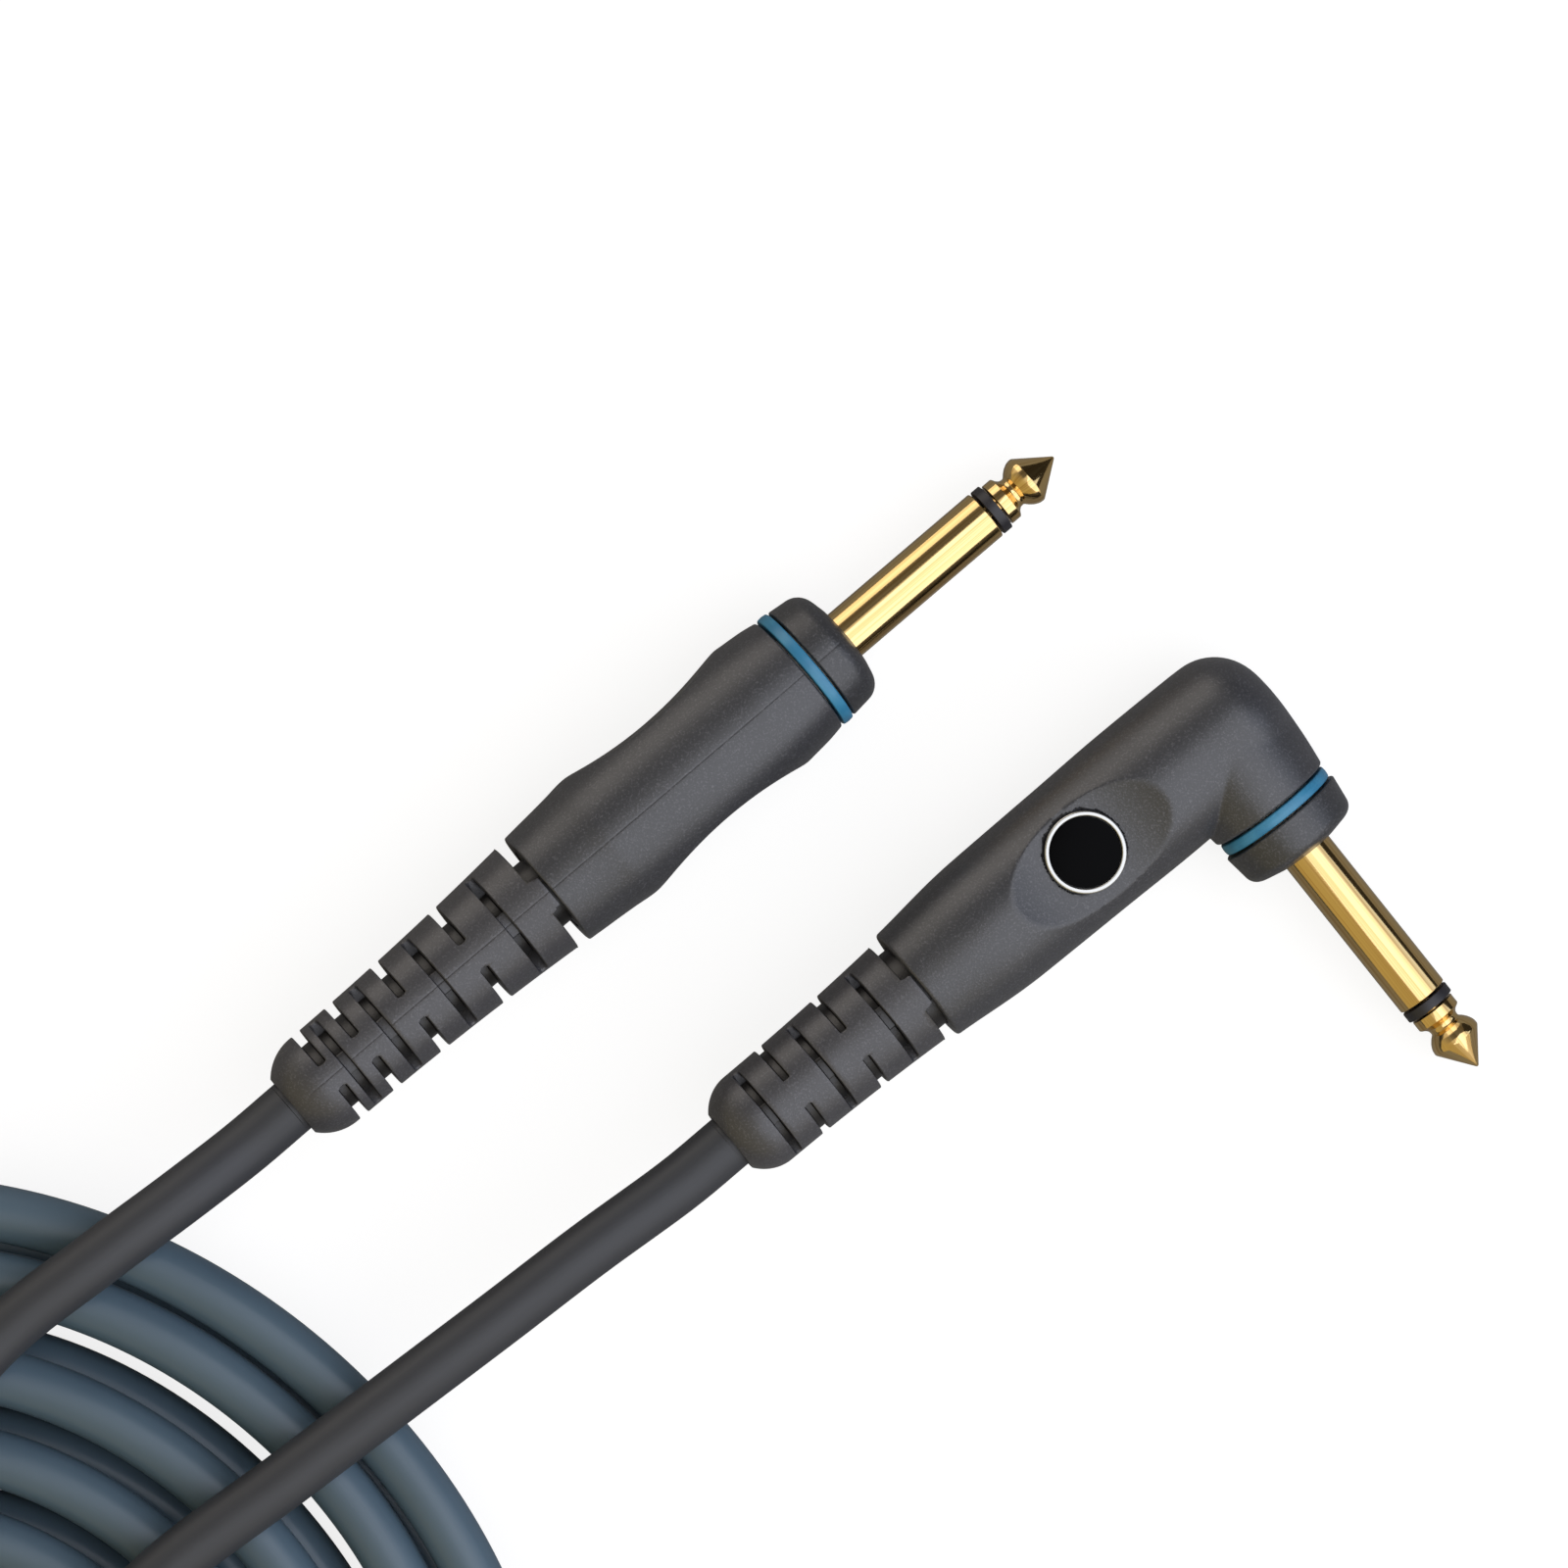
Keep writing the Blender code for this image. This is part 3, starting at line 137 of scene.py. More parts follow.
def fair(stations: Sequence[Sequence[float]], at: np.ndarray) -> np.ndarray:
    """Monotone cubic through (place, value) stations: slopes are harmonic means of the chords' slopes.

    Args:
        stations: (place, value) pairs with rising places.
        at: Places to read.

    Returns:
        The value at each place.
    """
    x, y = np.array(stations, float).T
    step = np.diff(x)
    chord = np.diff(y) / step
    product, total = chord[:-1] * chord[1:], chord[:-1] + chord[1:]
    inner = np.where(product > 0, 2 * product / np.where(product > 0, total, 1.0), 0.0)
    slope = np.concatenate([chord[:1], inner, chord[-1:]])
    k = np.clip(np.searchsorted(x, at, side="right") - 1, 0, len(step) - 1)
    t = (at - x[k]) / step[k]
    rise = (1 + 2 * t) * (1 - t) ** 2 * y[k] + t * t * (3 - 2 * t) * y[k + 1]
    return rise + step[k] * (t * (1 - t) ** 2 * slope[k] - t * t * (1 - t) * slope[k + 1])


def ease(share: np.ndarray) -> np.ndarray:
    """Rises smoothly from 0 to 1 as the share does, by 3 s^2 - 2 s^3."""
    share = np.clip(share, 0.0, 1.0)
    return share * share * (3 - 2 * share)


def soft_least(a: np.ndarray, b: np.ndarray, blend: float) -> np.ndarray:
    """Lesser of two fields with a rounded valley: the polynomial blend takes away k h (1 - h)."""
    h = np.clip(0.5 + 0.5 * (b - a) / blend, 0.0, 1.0)
    return b * (1 - h) + a * h - blend * h * (1 - h)


def soft_most(a: np.ndarray, b: np.ndarray, blend: float) -> np.ndarray:
    """Greater of two fields with a rounded ridge."""
    return -soft_least(-a, -b, blend)


def carried(points: np.ndarray, matrix: np.ndarray) -> np.ndarray:
    """Points of a local frame, in world places."""
    return points @ matrix[:3, :3].T + matrix[:3, 3]


def skin(name: str, grid: np.ndarray, ends: Ends, sharp: float = 40.0) -> bpy.types.Object:
    """Closed mesh of a grid whose columns run round: each cell is a quad, with its UV from the grid.

    U is the share of the way round and V the distance along the rows in metres.

    Args:
        name: Name of the piece.
        grid: World points, rows by columns. Rows run down the outside, columns anticlockwise.
        ends: How the rows end.
        sharp: Angle in degrees past which an edge stays sharp.

    Returns:
        The object, at the origin.
    """
    rows, columns = grid.shape[:2]
    along = np.concatenate([[0.0], np.cumsum(np.linalg.norm(np.diff(grid, axis=0), axis=2).mean(axis=1))])
    index = np.arange(rows * columns).reshape(rows, columns)
    points = grid.reshape(-1, 3)
    if ends is Ends.LOOP:
        closing = np.linalg.norm(grid[0] - grid[-1], axis=1).mean()
        index, along = np.vstack([index, index[:1]]), np.append(along, along[-1] + closing)
    beside = np.roll(index, -1, axis=1)
    quads = np.stack([index[:-1], index[1:], beside[1:], beside[:-1]], axis=2).reshape(-1, 4)
    u = np.arange(columns + 1) / columns
    low, high = np.meshgrid(along[:-1], u[:-1], indexing="ij"), np.meshgrid(along[1:], u[1:], indexing="ij")
    uv = np.stack([low[1], low[0], low[1], high[0], high[1], high[0], high[1], low[0]], axis=2).reshape(-1, 2)
    loops, starts = quads.ravel(), np.arange(len(quads)) * 4
    if ends is Ends.CAPS:
        middle = len(points) + np.array([0, 1])
        points = np.vstack([points, grid[0].mean(axis=0), grid[-1].mean(axis=0)])
        first = np.column_stack([np.full(columns, middle[0]), index[0], beside[0]])
        last = np.column_stack([index[-1], np.full(columns, middle[1]), beside[-1]])
        fans = np.vstack([first, last])
        starts = np.concatenate([starts, len(loops) + np.arange(len(fans)) * 3])
        loops = np.concatenate([loops, fans.ravel()])
        cap = np.column_stack([np.repeat(u[:-1], 3), np.zeros(3 * columns)])
        uv = np.vstack([uv, cap, cap + [0.0, along[-1]]])
    mesh = bpy.data.meshes.new(name)
    mesh.vertices.add(len(points))
    mesh.vertices.foreach_set("co", points.astype(np.float32).ravel())
    mesh.loops.add(len(loops))
    mesh.loops.foreach_set("vertex_index", loops.astype(np.int32))
    mesh.polygons.add(len(starts))
    mesh.polygons.foreach_set("loop_start", starts.astype(np.int32))
    mesh.update(calc_edges=True)
    mesh.uv_layers.new(name="UVMap").data.foreach_set("uv", uv.astype(np.float32).ravel())
    mesh.shade_smooth()
    mesh.set_sharp_from_angle(angle=math.radians(sharp))
    made = bpy.data.objects.new(name, mesh)
    bpy.context.scene.collection.objects.link(made)
    return made


def turned(name: str, profile: np.ndarray, columns: np.ndarray, place: np.ndarray, ends: Ends) -> bpy.types.Object:
    """A piece whose profile is turned round the Z axis of its frame."""
    return skin(name, carried(turned_grid(profile, columns), place), ends)


# ---------------------------------------------------------------- finishes


def linear(colour: str) -> tuple[float, float, float, float]:
    """Linear RGBA of an sRGB hex colour."""
    parts = [int(colour[i : i + 2], 16) / 255 for i in (1, 3, 5)]
    return (*[c / 12.92 if c <= 0.04045 else ((c + 0.055) / 1.055) ** 2.4 for c in parts], 1.0)


def add_node(
    tree: bpy.types.NodeTree,
    kind: str,
    inputs: dict[str | int, object] | None = None,
    output: str | int = 0,
    **settings: str,
) -> bpy.types.NodeSocket | None:
    """Adds a node to a tree.

    Args:
        tree: The tree.
        kind: The node's type name after "ShaderNode".
        inputs: Sockets by name or number, each with a value, a hex colour, or the output to link.
        output: The wanted output, by name or number.
        settings: Properties to set.

    Returns:
        That output, or nothing where the node has none.
    """
    node = tree.nodes.new(f"ShaderNode{kind}")
    for key, value in settings.items():
        setattr(node, key, value)
    for key, value in (inputs or {}).items():
        if isinstance(value, bpy.types.NodeSocket):
            tree.links.new(value, node.inputs[key])
        else:
            node.inputs[key].default_value = linear(value) if isinstance(value, str) else value
    return node.outputs[output] if node.outputs else None


MIDDLE = {"From Min": 0.35, "From Max": 0.65}  # the middle of a noise, where nearly all of it lies
NOISE = {"Scale": 1.0, "Detail": 2.0, "Roughness": 0.6}  # what a noise starts from
COLOUR_OUTPUT = 2  # of a mix node, whose colours are its inputs 6 and 7


@dataclass(frozen=True)
class Finish:
    """A surface finish: its own colour and gloss, and a pattern that each kind of finish adds."""

    name: str
    colour: str
    roughness: float
    metallic: float = 0.0
    ior: float = 1.5
    sheen: float = 0.0
    specular: float = 0.5
    drift: tuple[float, float] = (-0.03, 0.03)  # what the pattern adds to the roughness at its ends

    def gloss(self) -> dict[str, float]:
        """Ends of the roughness, for a node that maps a noise onto them."""
        return {"To Min": self.roughness + self.drift[0], "To Max": self.roughness + self.drift[1]}

    def build(self) -> bpy.types.Material:
        """Makes the material with its constants on the shader, then adds the pattern."""
        made = bpy.data.materials.new(self.name)
        made.use_nodes = True
        shader = made.node_tree.nodes["Principled BSDF"]
        values = {
            "Base Color": linear(self.colour), "Roughness": self.roughness, "Metallic": self.metallic,
            "IOR": self.ior, "Sheen Weight": self.sheen, "Sheen Roughness": 0.45, "Specular IOR Level": self.specular,
        }
        for key, value in values.items():
            shader.inputs[key].default_value = value
        made.diffuse_color = linear(self.colour)
        for key, output in self.pattern(made.node_tree).items():
            made.node_tree.links.new(output, shader.inputs[key])
        return made

    def pattern(self, tree: bpy.types.NodeTree) -> dict[str, bpy.types.NodeSocket]:
        """The finish's own nodes, by the shader's socket that each one feeds; a plain finish has none."""
        return {}


@dataclass(frozen=True)
class GrainedRubber(Finish):
    """Thermoplastic rubber moulded against spark-eroded steel: an even, matt grain with pale specks."""

    speck: str = "#6c6c72"
    grain: float = 0.26 * MM
    grain_depth: float = 0.032 * MM
    speck_range: tuple[float, float] = (0.52, 0.86)  # noise where a speck starts, and where it is full
    cloud: float = 14 * MM
    # Colour of the painted shade deep in the slots; none where this is empty
    slot_shade_colour: str = ""

    def pattern(self, tree: bpy.types.NodeTree) -> dict[str, bpy.types.NodeSocket]:
        """Grain in bump and colour, slow drift of the gloss, and painted shade in the slots: a darker tone where the
        piece's slot-depth attribute is 1.
        """
        place = add_node(tree, "TexCoord", output="Object")
        grain, cloud = [
            add_node(tree, "TexNoise", {**NOISE, "Vector": place, "Scale": 1 / size, "Detail": detail})
            for size, detail in ((self.grain, 3.0), (self.cloud, 2.0))
        ]
        start, full = self.speck_range
        specks = add_node(tree, "MapRange", {"Value": grain, "From Min": start, "From Max": full})
        inputs = {0: specks, 6: self.colour, 7: self.speck}
        colour = add_node(tree, "Mix", inputs, COLOUR_OUTPUT, data_type="RGBA")
        if self.slot_shade_colour:
            painted_slot_shade = add_node(tree, "Attribute", output="Fac", attribute_name="painted_slot_shade")
            inputs = {0: painted_slot_shade, 6: colour, 7: self.slot_shade_colour}
            colour = add_node(tree, "Mix", inputs, COLOUR_OUTPUT, data_type="RGBA")
        gloss = add_node(tree, "MapRange", {"Value": cloud, **MIDDLE, **self.gloss()})
        bump = add_node(tree, "Bump", {"Height": grain, "Distance": self.grain_depth})
        return {"Base Color": colour, "Roughness": gloss, "Normal": bump}


@dataclass(frozen=True)
class CableJacket(Finish):
    """Extruded PVC jacket: smooth and half matt, with faint draw lines; the coil is painted a bluer tone, a painted
    light tint for the cooler light that falls on it.
    """

    drift: tuple[float, float] = (-0.02, 0.03)
    # Painted light: the coil is the same PVC, tinted bluer for the cooler light that falls on it
    coil_painted_light: str = "#566a79"
    line_width: float = 0.5 * MM
    line_length: float = 25 * MM
    line_depth: float = 0.006 * MM
    around: float = 21.4 * MM
    coil_gloss: float = -0.16

    def pattern(self, tree: bpy.types.NodeTree) -> dict[str, bpy.types.NodeSocket]:
        """Draw lines along the cable, and a painted light tint, bluer, that follows the piece's wound attribute."""
        uv = add_node(tree, "TexCoord", output="UV")
        scale = (self.around / self.line_width, 1 / self.line_length, 1.0)
        stretched = add_node(tree, "Mapping", {"Vector": uv, "Scale": scale})
        lines = add_node(tree, "TexNoise", {**NOISE, "Vector": stretched})
        wound = add_node(tree, "Attribute", output="Fac", attribute_name="wound")
        inputs = {0: wound, 6: self.colour, 7: self.coil_painted_light}
        colour = add_node(tree, "Mix", inputs, COLOUR_OUTPUT, data_type="RGBA")
        gloss = add_node(tree, "MapRange", {"Value": lines, **MIDDLE, **self.gloss()})
        gloss = add_node(tree, "Math", {0: wound, 1: self.coil_gloss, 2: gloss}, operation="MULTIPLY_ADD")
        bump = add_node(tree, "Bump", {"Height": lines, "Distance": self.line_depth})
        return {"Base Color": colour, "Roughness": gloss, "Normal": bump}


@dataclass(frozen=True)
class TurnedMetal(Finish):
    """Turned and plated metal: bright, with very fine rings left by the tool under the plating."""

    drift: tuple[float, float] = (-0.03, 0.04)
    ring_width: float = 0.09 * MM
    ring_depth: float = 0.0006 * MM
    waver: float = 1.5  # how often a ring changes round the piece
    streak: str = ""
    streak_range: tuple[float, float] = (0.42, 0.72)  # noise where a streak starts, and where it is full
    streak_most: float = 0.7  # share of its colour where it is full
    streak_count: float = 44.0  # round the piece
    streak_length: float = 60 * MM

    def pattern(self, tree: bpy.types.NodeTree) -> dict[str, bpy.types.NodeSocket]:
        """Rings round the axis, which follow the piece's V coordinate, and lengthwise streaks of polish."""
        uv = add_node(tree, "TexCoord", output="UV")
        place = add_node(tree, "Mapping", {"Vector": uv, "Scale": (self.waver, 1 / self.ring_width, 1.0)})
        rings = add_node(tree, "TexNoise", {**NOISE, "Vector": place, "Detail": 1.0})
        made = {
            "Roughness": add_node(tree, "MapRange", {"Value": rings, **MIDDLE, **self.gloss()}),
            "Normal": add_node(tree, "Bump", {"Height": rings, "Distance": self.ring_depth}),
        }
        if self.streak:
            scale = (self.streak_count, 1 / self.streak_length, 1.0)
            place = add_node(tree, "Mapping", {"Vector": uv, "Scale": scale})
            polish = add_node(tree, "TexNoise", {**NOISE, "Vector": place})
            start, full = self.streak_range
            inputs = {"Value": polish, "From Min": start, "From Max": full, "To Max": self.streak_most}
            inputs = {0: add_node(tree, "MapRange", inputs), 6: self.colour, 7: self.streak}
            made["Base Color"] = add_node(tree, "Mix", inputs, COLOUR_OUTPUT, data_type="RGBA")
        return made


@dataclass(frozen=True)
class MouldedPlastic(Finish):
    """Hard moulded plastic: smooth, with a faint cloudiness and a slight orange peel."""

    pale: str = ""
    cloud: float = 3 * MM
    peel: float = 0.7 * MM
    peel_depth: float = 0.003 * MM

    def pattern(self, tree: bpy.types.NodeTree) -> dict[str, bpy.types.NodeSocket]:
        """Cloudy colour and a shallow peel."""
        place = add_node(tree, "TexCoord", output="Object")
        peel = add_node(tree, "TexNoise", {**NOISE, "Vector": place, "Scale": 1 / self.peel})
        made = {"Normal": add_node(tree, "Bump", {"Height": peel, "Distance": self.peel_depth})}
        if self.pale:
            cloud = add_node(tree, "TexNoise", {**NOISE, "Vector": place, "Scale": 1 / self.cloud})
            inputs = {0: add_node(tree, "MapRange", {"Value": cloud, **MIDDLE}), 6: self.colour, 7: self.pale}
            made["Base Color"] = add_node(tree, "Mix", inputs, COLOUR_OUTPUT, data_type="RGBA")
        return made


@dataclass(frozen=True)
class StampedMetal(Finish):
    """Rolled and stamped sheet or drawn wire: dull, with small stains."""

    drift: tuple[float, float] = (-0.06, 0.1)
    stain: str = "#8a7038"
    stain_most: float = 0.7  # share of its colour in the middle of a stain
    spot: float = 0.8 * MM

    def pattern(self, tree: bpy.types.NodeTree) -> dict[str, bpy.types.NodeSocket]:
        """Stains in colour and gloss."""
        place = add_node(tree, "TexCoord", output="Object")
        spots = add_node(tree, "TexNoise", {**NOISE, "Vector": place, "Scale": 1 / self.spot, "Detail": 3.0})
        share = add_node(tree, "MapRange", {"Value": spots, **MIDDLE, "To Max": self.stain_most})
        inputs = {0: share, 6: self.colour, 7: self.stain}
        colour = add_node(tree, "Mix", inputs, COLOUR_OUTPUT, data_type="RGBA")
        gloss = add_node(tree, "MapRange", {"Value": spots, **MIDDLE, **self.gloss()})
        return {"Base Color": colour, "Roughness": gloss}


@cache
def material_of(finish: Finish) -> bpy.types.Material:
    """The material of a finish, made once."""
    return finish.build()


# Grained thermoplastic rubber: a dark charcoal that takes a soft, cool highlight
GRIP_RUBBER = GrainedRubber("grained_grip_rubber", "#3a3b3f", 0.35, ior=1.63, sheen=0.02)
NOSE_RUBBER = GrainedRubber("grained_nose_rubber", "#353639", 0.35, ior=1.60, sheen=0.02)
# The strain reliefs are softer and a little browner, and their slots are painted brown-black: a painted shade that
# deepens towards each slot's floor
RELIEF_RUBBER = GrainedRubber("soft_relief_rubber", "#414145", 0.37, ior=1.62, sheen=0.02, slot_shade_colour="#0d0a09")
# Blue acetal band, smooth from its mould
BLUE_ACETAL = MouldedPlastic("blue_acetal", "#347fa8", 0.34, pale="#4490b6")
# Hard gold over nickel on turned brass: a warm, nearly mirror-like metal
GOLD_PLATE = TurnedMetal("turned_gold_plate", "#f1d192", 0.09, metallic=1.0, streak="#b5853c")
# Black nylon of the insulating rings
BLACK_NYLON = MouldedPlastic("black_nylon", "#232226", 0.42, pale="#2b2a2f")
# Extruded PVC: dark slate; where the coil lies it is painted bluer, a painted light tint for the cooler light there
SLATE_PVC = CableJacket("slate_pvc_jacket", "#393b40", 0.50)
# Bright nickel of the badge's rim, and the clear black resin in it
BRIGHT_NICKEL = TurnedMetal("bright_nickel", "#c9c9c5", 0.30, metallic=1.0)
BLACK_RESIN = MouldedPlastic("black_poured_resin", "#020203", 0.30, specular=0.04, peel=2 * MM)
# Inside the plugs: stamped brass, natural nylon, polyethylene insulation and bare copper
STAMPED_BRASS = StampedMetal("stamped_brass", "#c9a95c", 0.35, metallic=1.0)
NATURAL_NYLON = MouldedPlastic("natural_nylon", "#c4c1b6", 0.5, pale="#d4d1c6")
WHITE_POLYETHYLENE = MouldedPlastic("white_polyethylene", "#e2e0da", 0.45, pale="#eceae4")
BARE_COPPER = StampedMetal("bare_copper", "#c77a52", 0.32, metallic=1.0, stain="#8a4c30")


def present(piece: bpy.types.Object, finish: Finish, slot: str, *nodes: str) -> None:
    """Dresses a new piece, gives it its body and hides the nodes that it stands for."""
    piece.data.materials.append(material_of(finish))
    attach(piece, BODY)
    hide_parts(*nodes)
    log.info("%s: %d faces, %s", piece.name, len(piece.data.polygons), finish.name)


# ---------------------------------------------------------------- where the plugs lie


@dataclass(frozen=True)
class Lay:
    """Where a plug lies: the middle of its seat face, and the way its pin points, in degrees."""

    seat: Place
    heading: float
    pitch: float
    roll: float

    def matrix(self) -> np.ndarray:
        """Frame of the plug: Z along the pin, nose down by the pitch, turned about the pin by the roll."""
        heading, pitch = math.radians(self.heading), math.radians(self.pitch)
        level = math.cos(pitch)
        forward = Vector((math.cos(heading) * level, math.sin(heading) * level, -math.sin(pitch)))
        sideways = Vector((0.0, 0.0, 1.0)).cross(forward).normalized()
        axes = Matrix((sideways, forward.cross(sideways), forward)).transposed()
        turned = axes @ Matrix.Rotation(math.radians(self.roll), 3, "Z")
        return np.array(Matrix.Translation(self.seat) @ turned.to_4x4())


STRAIGHT_LAY = Lay((-0.0039, 0.0208, 0.00761), 40.5, 4.3, 3.0)
ANGLED_LAY = Lay((0.0510, -0.0047, 0.00757), -51.3, 4.4, -3.9)
BRANCH_LENGTH = 17.5 * MM  # from the seat of the right-angle plug to where its axes cross
ELBOW_ANGLE = math.radians(90.8)
SLEEVE_RADIUS = 3.175 * MM
CABLE_RADIUS = 3.4 * MM


def elbow_frame() -> np.ndarray:
    """Frame of the right-angle plug's body."""
    turn = Matrix.Rotation(ELBOW_ANGLE, 4, "Y")
    return ANGLED_LAY.matrix() @ np.array(Matrix.Translation((0.0, 0.0, -BRANCH_LENGTH)) @ turn)


# ---------------------------------------------------------------- pin


@dataclass
class Pin:
    """The 6.35 mm pin: tip contact with its rod, insulating ring and sleeve."""

    owner: str
    place: np.ndarray
    length: float = 32.9 * MM
    cone_length: float = 4.1 * MM
    cone_radius: float = 3.15 * MM
    blunt: float = 0.25 * MM
    flange_radius: float = 2.85 * MM
    flange_at: float = 7.5 * MM
    flange_end: float = 8.85 * MM
    ring_length: float = 1.2 * MM
    rod_radius: float = 1.1 * MM
    rivet_radius: float = 1.9 * MM
    rivet_at: float = 9.2 * MM
    rivet_length: float = 0.8 * MM
    sleeve_bore: float = 2.05 * MM
    sleeve_tail: float = 6.5 * MM
    collar_radius: float = 5.0 * MM
    collar_at: float = 2.3 * MM
    collar_length: float = 1.6 * MM
    edge: float = 0.08 * MM  # broken edges
    waist: Stations = (  # distance behind the point, and radius
        (4.2, 3.15), (4.6, 3.12), (5.3, 2.85), (5.9, 2.40), (6.4, 1.95), (6.75, 1.98), (7.2, 2.30), (7.45, 2.72),
    )

    def tip_profile(self) -> np.ndarray:
        """Blunt cone, ball that falls to a neck, flare, flange, rod and riveted head.

        Distances run back from the point. The cone's flank touches the blunt point's arc, and the ball, neck
        and flare are one monotone curve through their radii.
        """
        flank = math.atan2(self.cone_radius, self.cone_length)
        angles = np.linspace(math.radians(85), flank, 6)
        nose = np.column_stack([self.blunt * np.cos(angles), self.blunt * (1 - np.sin(angles))])
        shoulder = [(self.cone_radius - 0.06 * MM, self.cone_length - 0.08 * MM)]
        stations = np.array(self.waist) * MM
        back = np.linspace(stations[0, 0], stations[-1, 0], 26)
        waist = np.column_stack([fair(stations, back), back])
        rivet = self.length + self.rivet_at
        flange = rounded_outline([
            (self.flange_radius - self.edge, self.flange_at, 0.0),
            (self.flange_radius, self.flange_at + self.edge, 0.5 * self.edge),
            (self.flange_radius, self.flange_end, self.edge),
            (self.rod_radius, self.flange_end, 0.0),
            (self.rod_radius, rivet, 0.0),
            (self.rivet_radius, rivet, 0.15 * MM),
            (self.rivet_radius, rivet + self.rivet_length, 0.35 * MM),
            (0.1 * MM, rivet + self.rivet_length, 0.0),
        ], closed=False)
        profile = np.vstack([nose, shoulder, waist, flange])
        return np.column_stack([profile[:, 0], self.length - profile[:, 1]])

    def ring_profile(self) -> np.ndarray:
        """Square ring with its edges broken."""
        top = self.length - self.flange_end - GAP
        bottom, bore = top - self.ring_length, self.rod_radius + GAP
        return rounded_outline([
            (bore, top, 0.0), (self.cone_radius, top, self.edge),
            (self.cone_radius, bottom, self.edge), (bore, bottom, 0.0),
        ], closed=True, steps=3)

    def sleeve_profile(self) -> np.ndarray:
        """Barrel with a broken front edge, the collar that the nose cap holds, and the tail."""
        front = self.length - self.flange_end - self.ring_length - 2 * GAP
        collar, tail = -self.collar_at, -self.sleeve_tail
        return rounded_outline([
            (self.sleeve_bore, front, 0.05 * MM), (SLEEVE_RADIUS, front, 0.18 * MM), (SLEEVE_RADIUS, collar, 0.0),
            (self.collar_radius, collar, 0.1 * MM), (self.collar_radius, collar - self.collar_length, 0.1 * MM),
            (SLEEVE_RADIUS, collar - self.collar_length, 0.0), (SLEEVE_RADIUS, tail, 0.05 * MM),
            (self.sleeve_bore, tail, 0.0),
        ], closed=True, steps=4)

    def build(self) -> None:
        """Makes the three turned pieces."""
        columns = turned_columns(96)
        for name, profile, ends, finish, slot, node in (
            ("tip_contact", self.tip_profile(), Ends.CAPS, GOLD_PLATE, "gold", "tip"),
            ("tip_ring", self.ring_profile(), Ends.LOOP, BLACK_NYLON, "insulator", "tip_insulator"),
            ("sleeve_barrel", self.sleeve_profile(), Ends.LOOP, GOLD_PLATE, "gold", "sleeve"),
        ):
            piece = turned(f"{self.owner}_{name}", profile, columns, self.place, ends)
            present(piece, finish, slot, f"{self.owner}_{node}")


# ---------------------------------------------------------------- nose cap and colour ring


NOSE_LENGTH = 5.1 * MM
NOSE_WALL = 2.0 * MM
RING_LENGTH = 1.4 * MM
RING_TOP = -(NOSE_LENGTH + GAP)
RING_BOTTOM = RING_TOP - RING_LENGTH
GRIP_FRONT = RING_BOTTOM - GAP
SEAM_DEPTH = 0.05 * MM
SEAM_WIDTH = 0.09 * MM
FRONT_AND_BACK = (90.0, 270.0)  # where a moulding's parting line runs, in degrees


def seam(angles: np.ndarray, radius: np.ndarray) -> np.ndarray:
    """Depth of the parting line at the front and back, below zero: a Gaussian groove across the arc."""
    off = np.minimum(np.abs(angles - TURN / 4), np.abs(angles - 3 * TURN / 4)) * radius
    return -SEAM_DEPTH * np.exp(-((off / SEAM_WIDTH) ** 2))


@dataclass
class Head:
    """Nose cap and blue ring, which both plugs have in their own sizes."""

    owner: str
    place: np.ndarray
    rear_radius: float
    corner: float
    ring_radius: float
    mould_radius: float
    seams: tuple[float, ...] = ()
    front_radius: float = 7.45 * MM
    face_fall: float = 0.85 * MM  # how far the front face falls back towards its corner

    def nose_profile(self) -> np.ndarray:
        """Cap with a rounded front corner, stepped inside round the sleeve's collar."""
        bore = SLEEVE_RADIUS + GAP
        inside = self.mould_radius + GAP
        rim = [(bore, 0.0, 0.25 * MM), (bore + 0.9 * MM, -0.1 * MM, 0.3 * MM),
               (self.front_radius, -self.face_fall, self.corner), (self.rear_radius, -NOSE_LENGTH, 0.18 * MM)]
        inner = [(inside, -NOSE_LENGTH, 0.0), (inside, -NOSE_WALL, 0.0), (bore, -NOSE_WALL, 0.0)]
        return rounded_outline(rim + inner, closed=True, steps=8)

    def ring_profile(self) -> np.ndarray:
        """Band with softened edges and a slightly crowned face."""
        inside, edge = self.mould_radius + GAP, 0.22 * MM
        crown = self.ring_radius + 0.08 * MM
        middle = (RING_TOP + RING_BOTTOM) / 2
        return rounded_outline([
            (inside, RING_TOP, 0.0), (self.ring_radius, RING_TOP, edge), (crown, middle, 1.2 * MM),
            (self.ring_radius, RING_BOTTOM, edge), (inside, RING_BOTTOM, 0.0),
        ], closed=True, steps=5)

    def build(self) -> None:
        """Makes the cap and the ring."""
        columns = turned_columns(144, self.seams)
        profile = np.repeat(self.nose_profile()[:, None, :], len(columns), axis=1)
        if self.seams:
            outer = profile[..., 0] > self.mould_radius + 2 * GAP
            profile[..., 0] += outer * seam(columns, profile[..., 0])
        nose = turned(f"{self.owner}_nose_moulding", profile, columns, self.place, Ends.LOOP)
        present(nose, NOSE_RUBBER, "nose", f"{self.owner}_nose_cap")
        ring = turned(f"{self.owner}_blue_band", self.ring_profile(), columns, self.place, Ends.LOOP)
        present(ring, BLUE_ACETAL, "ring", f"{self.owner}_colour_ring")


# ---------------------------------------------------------------- strain relief


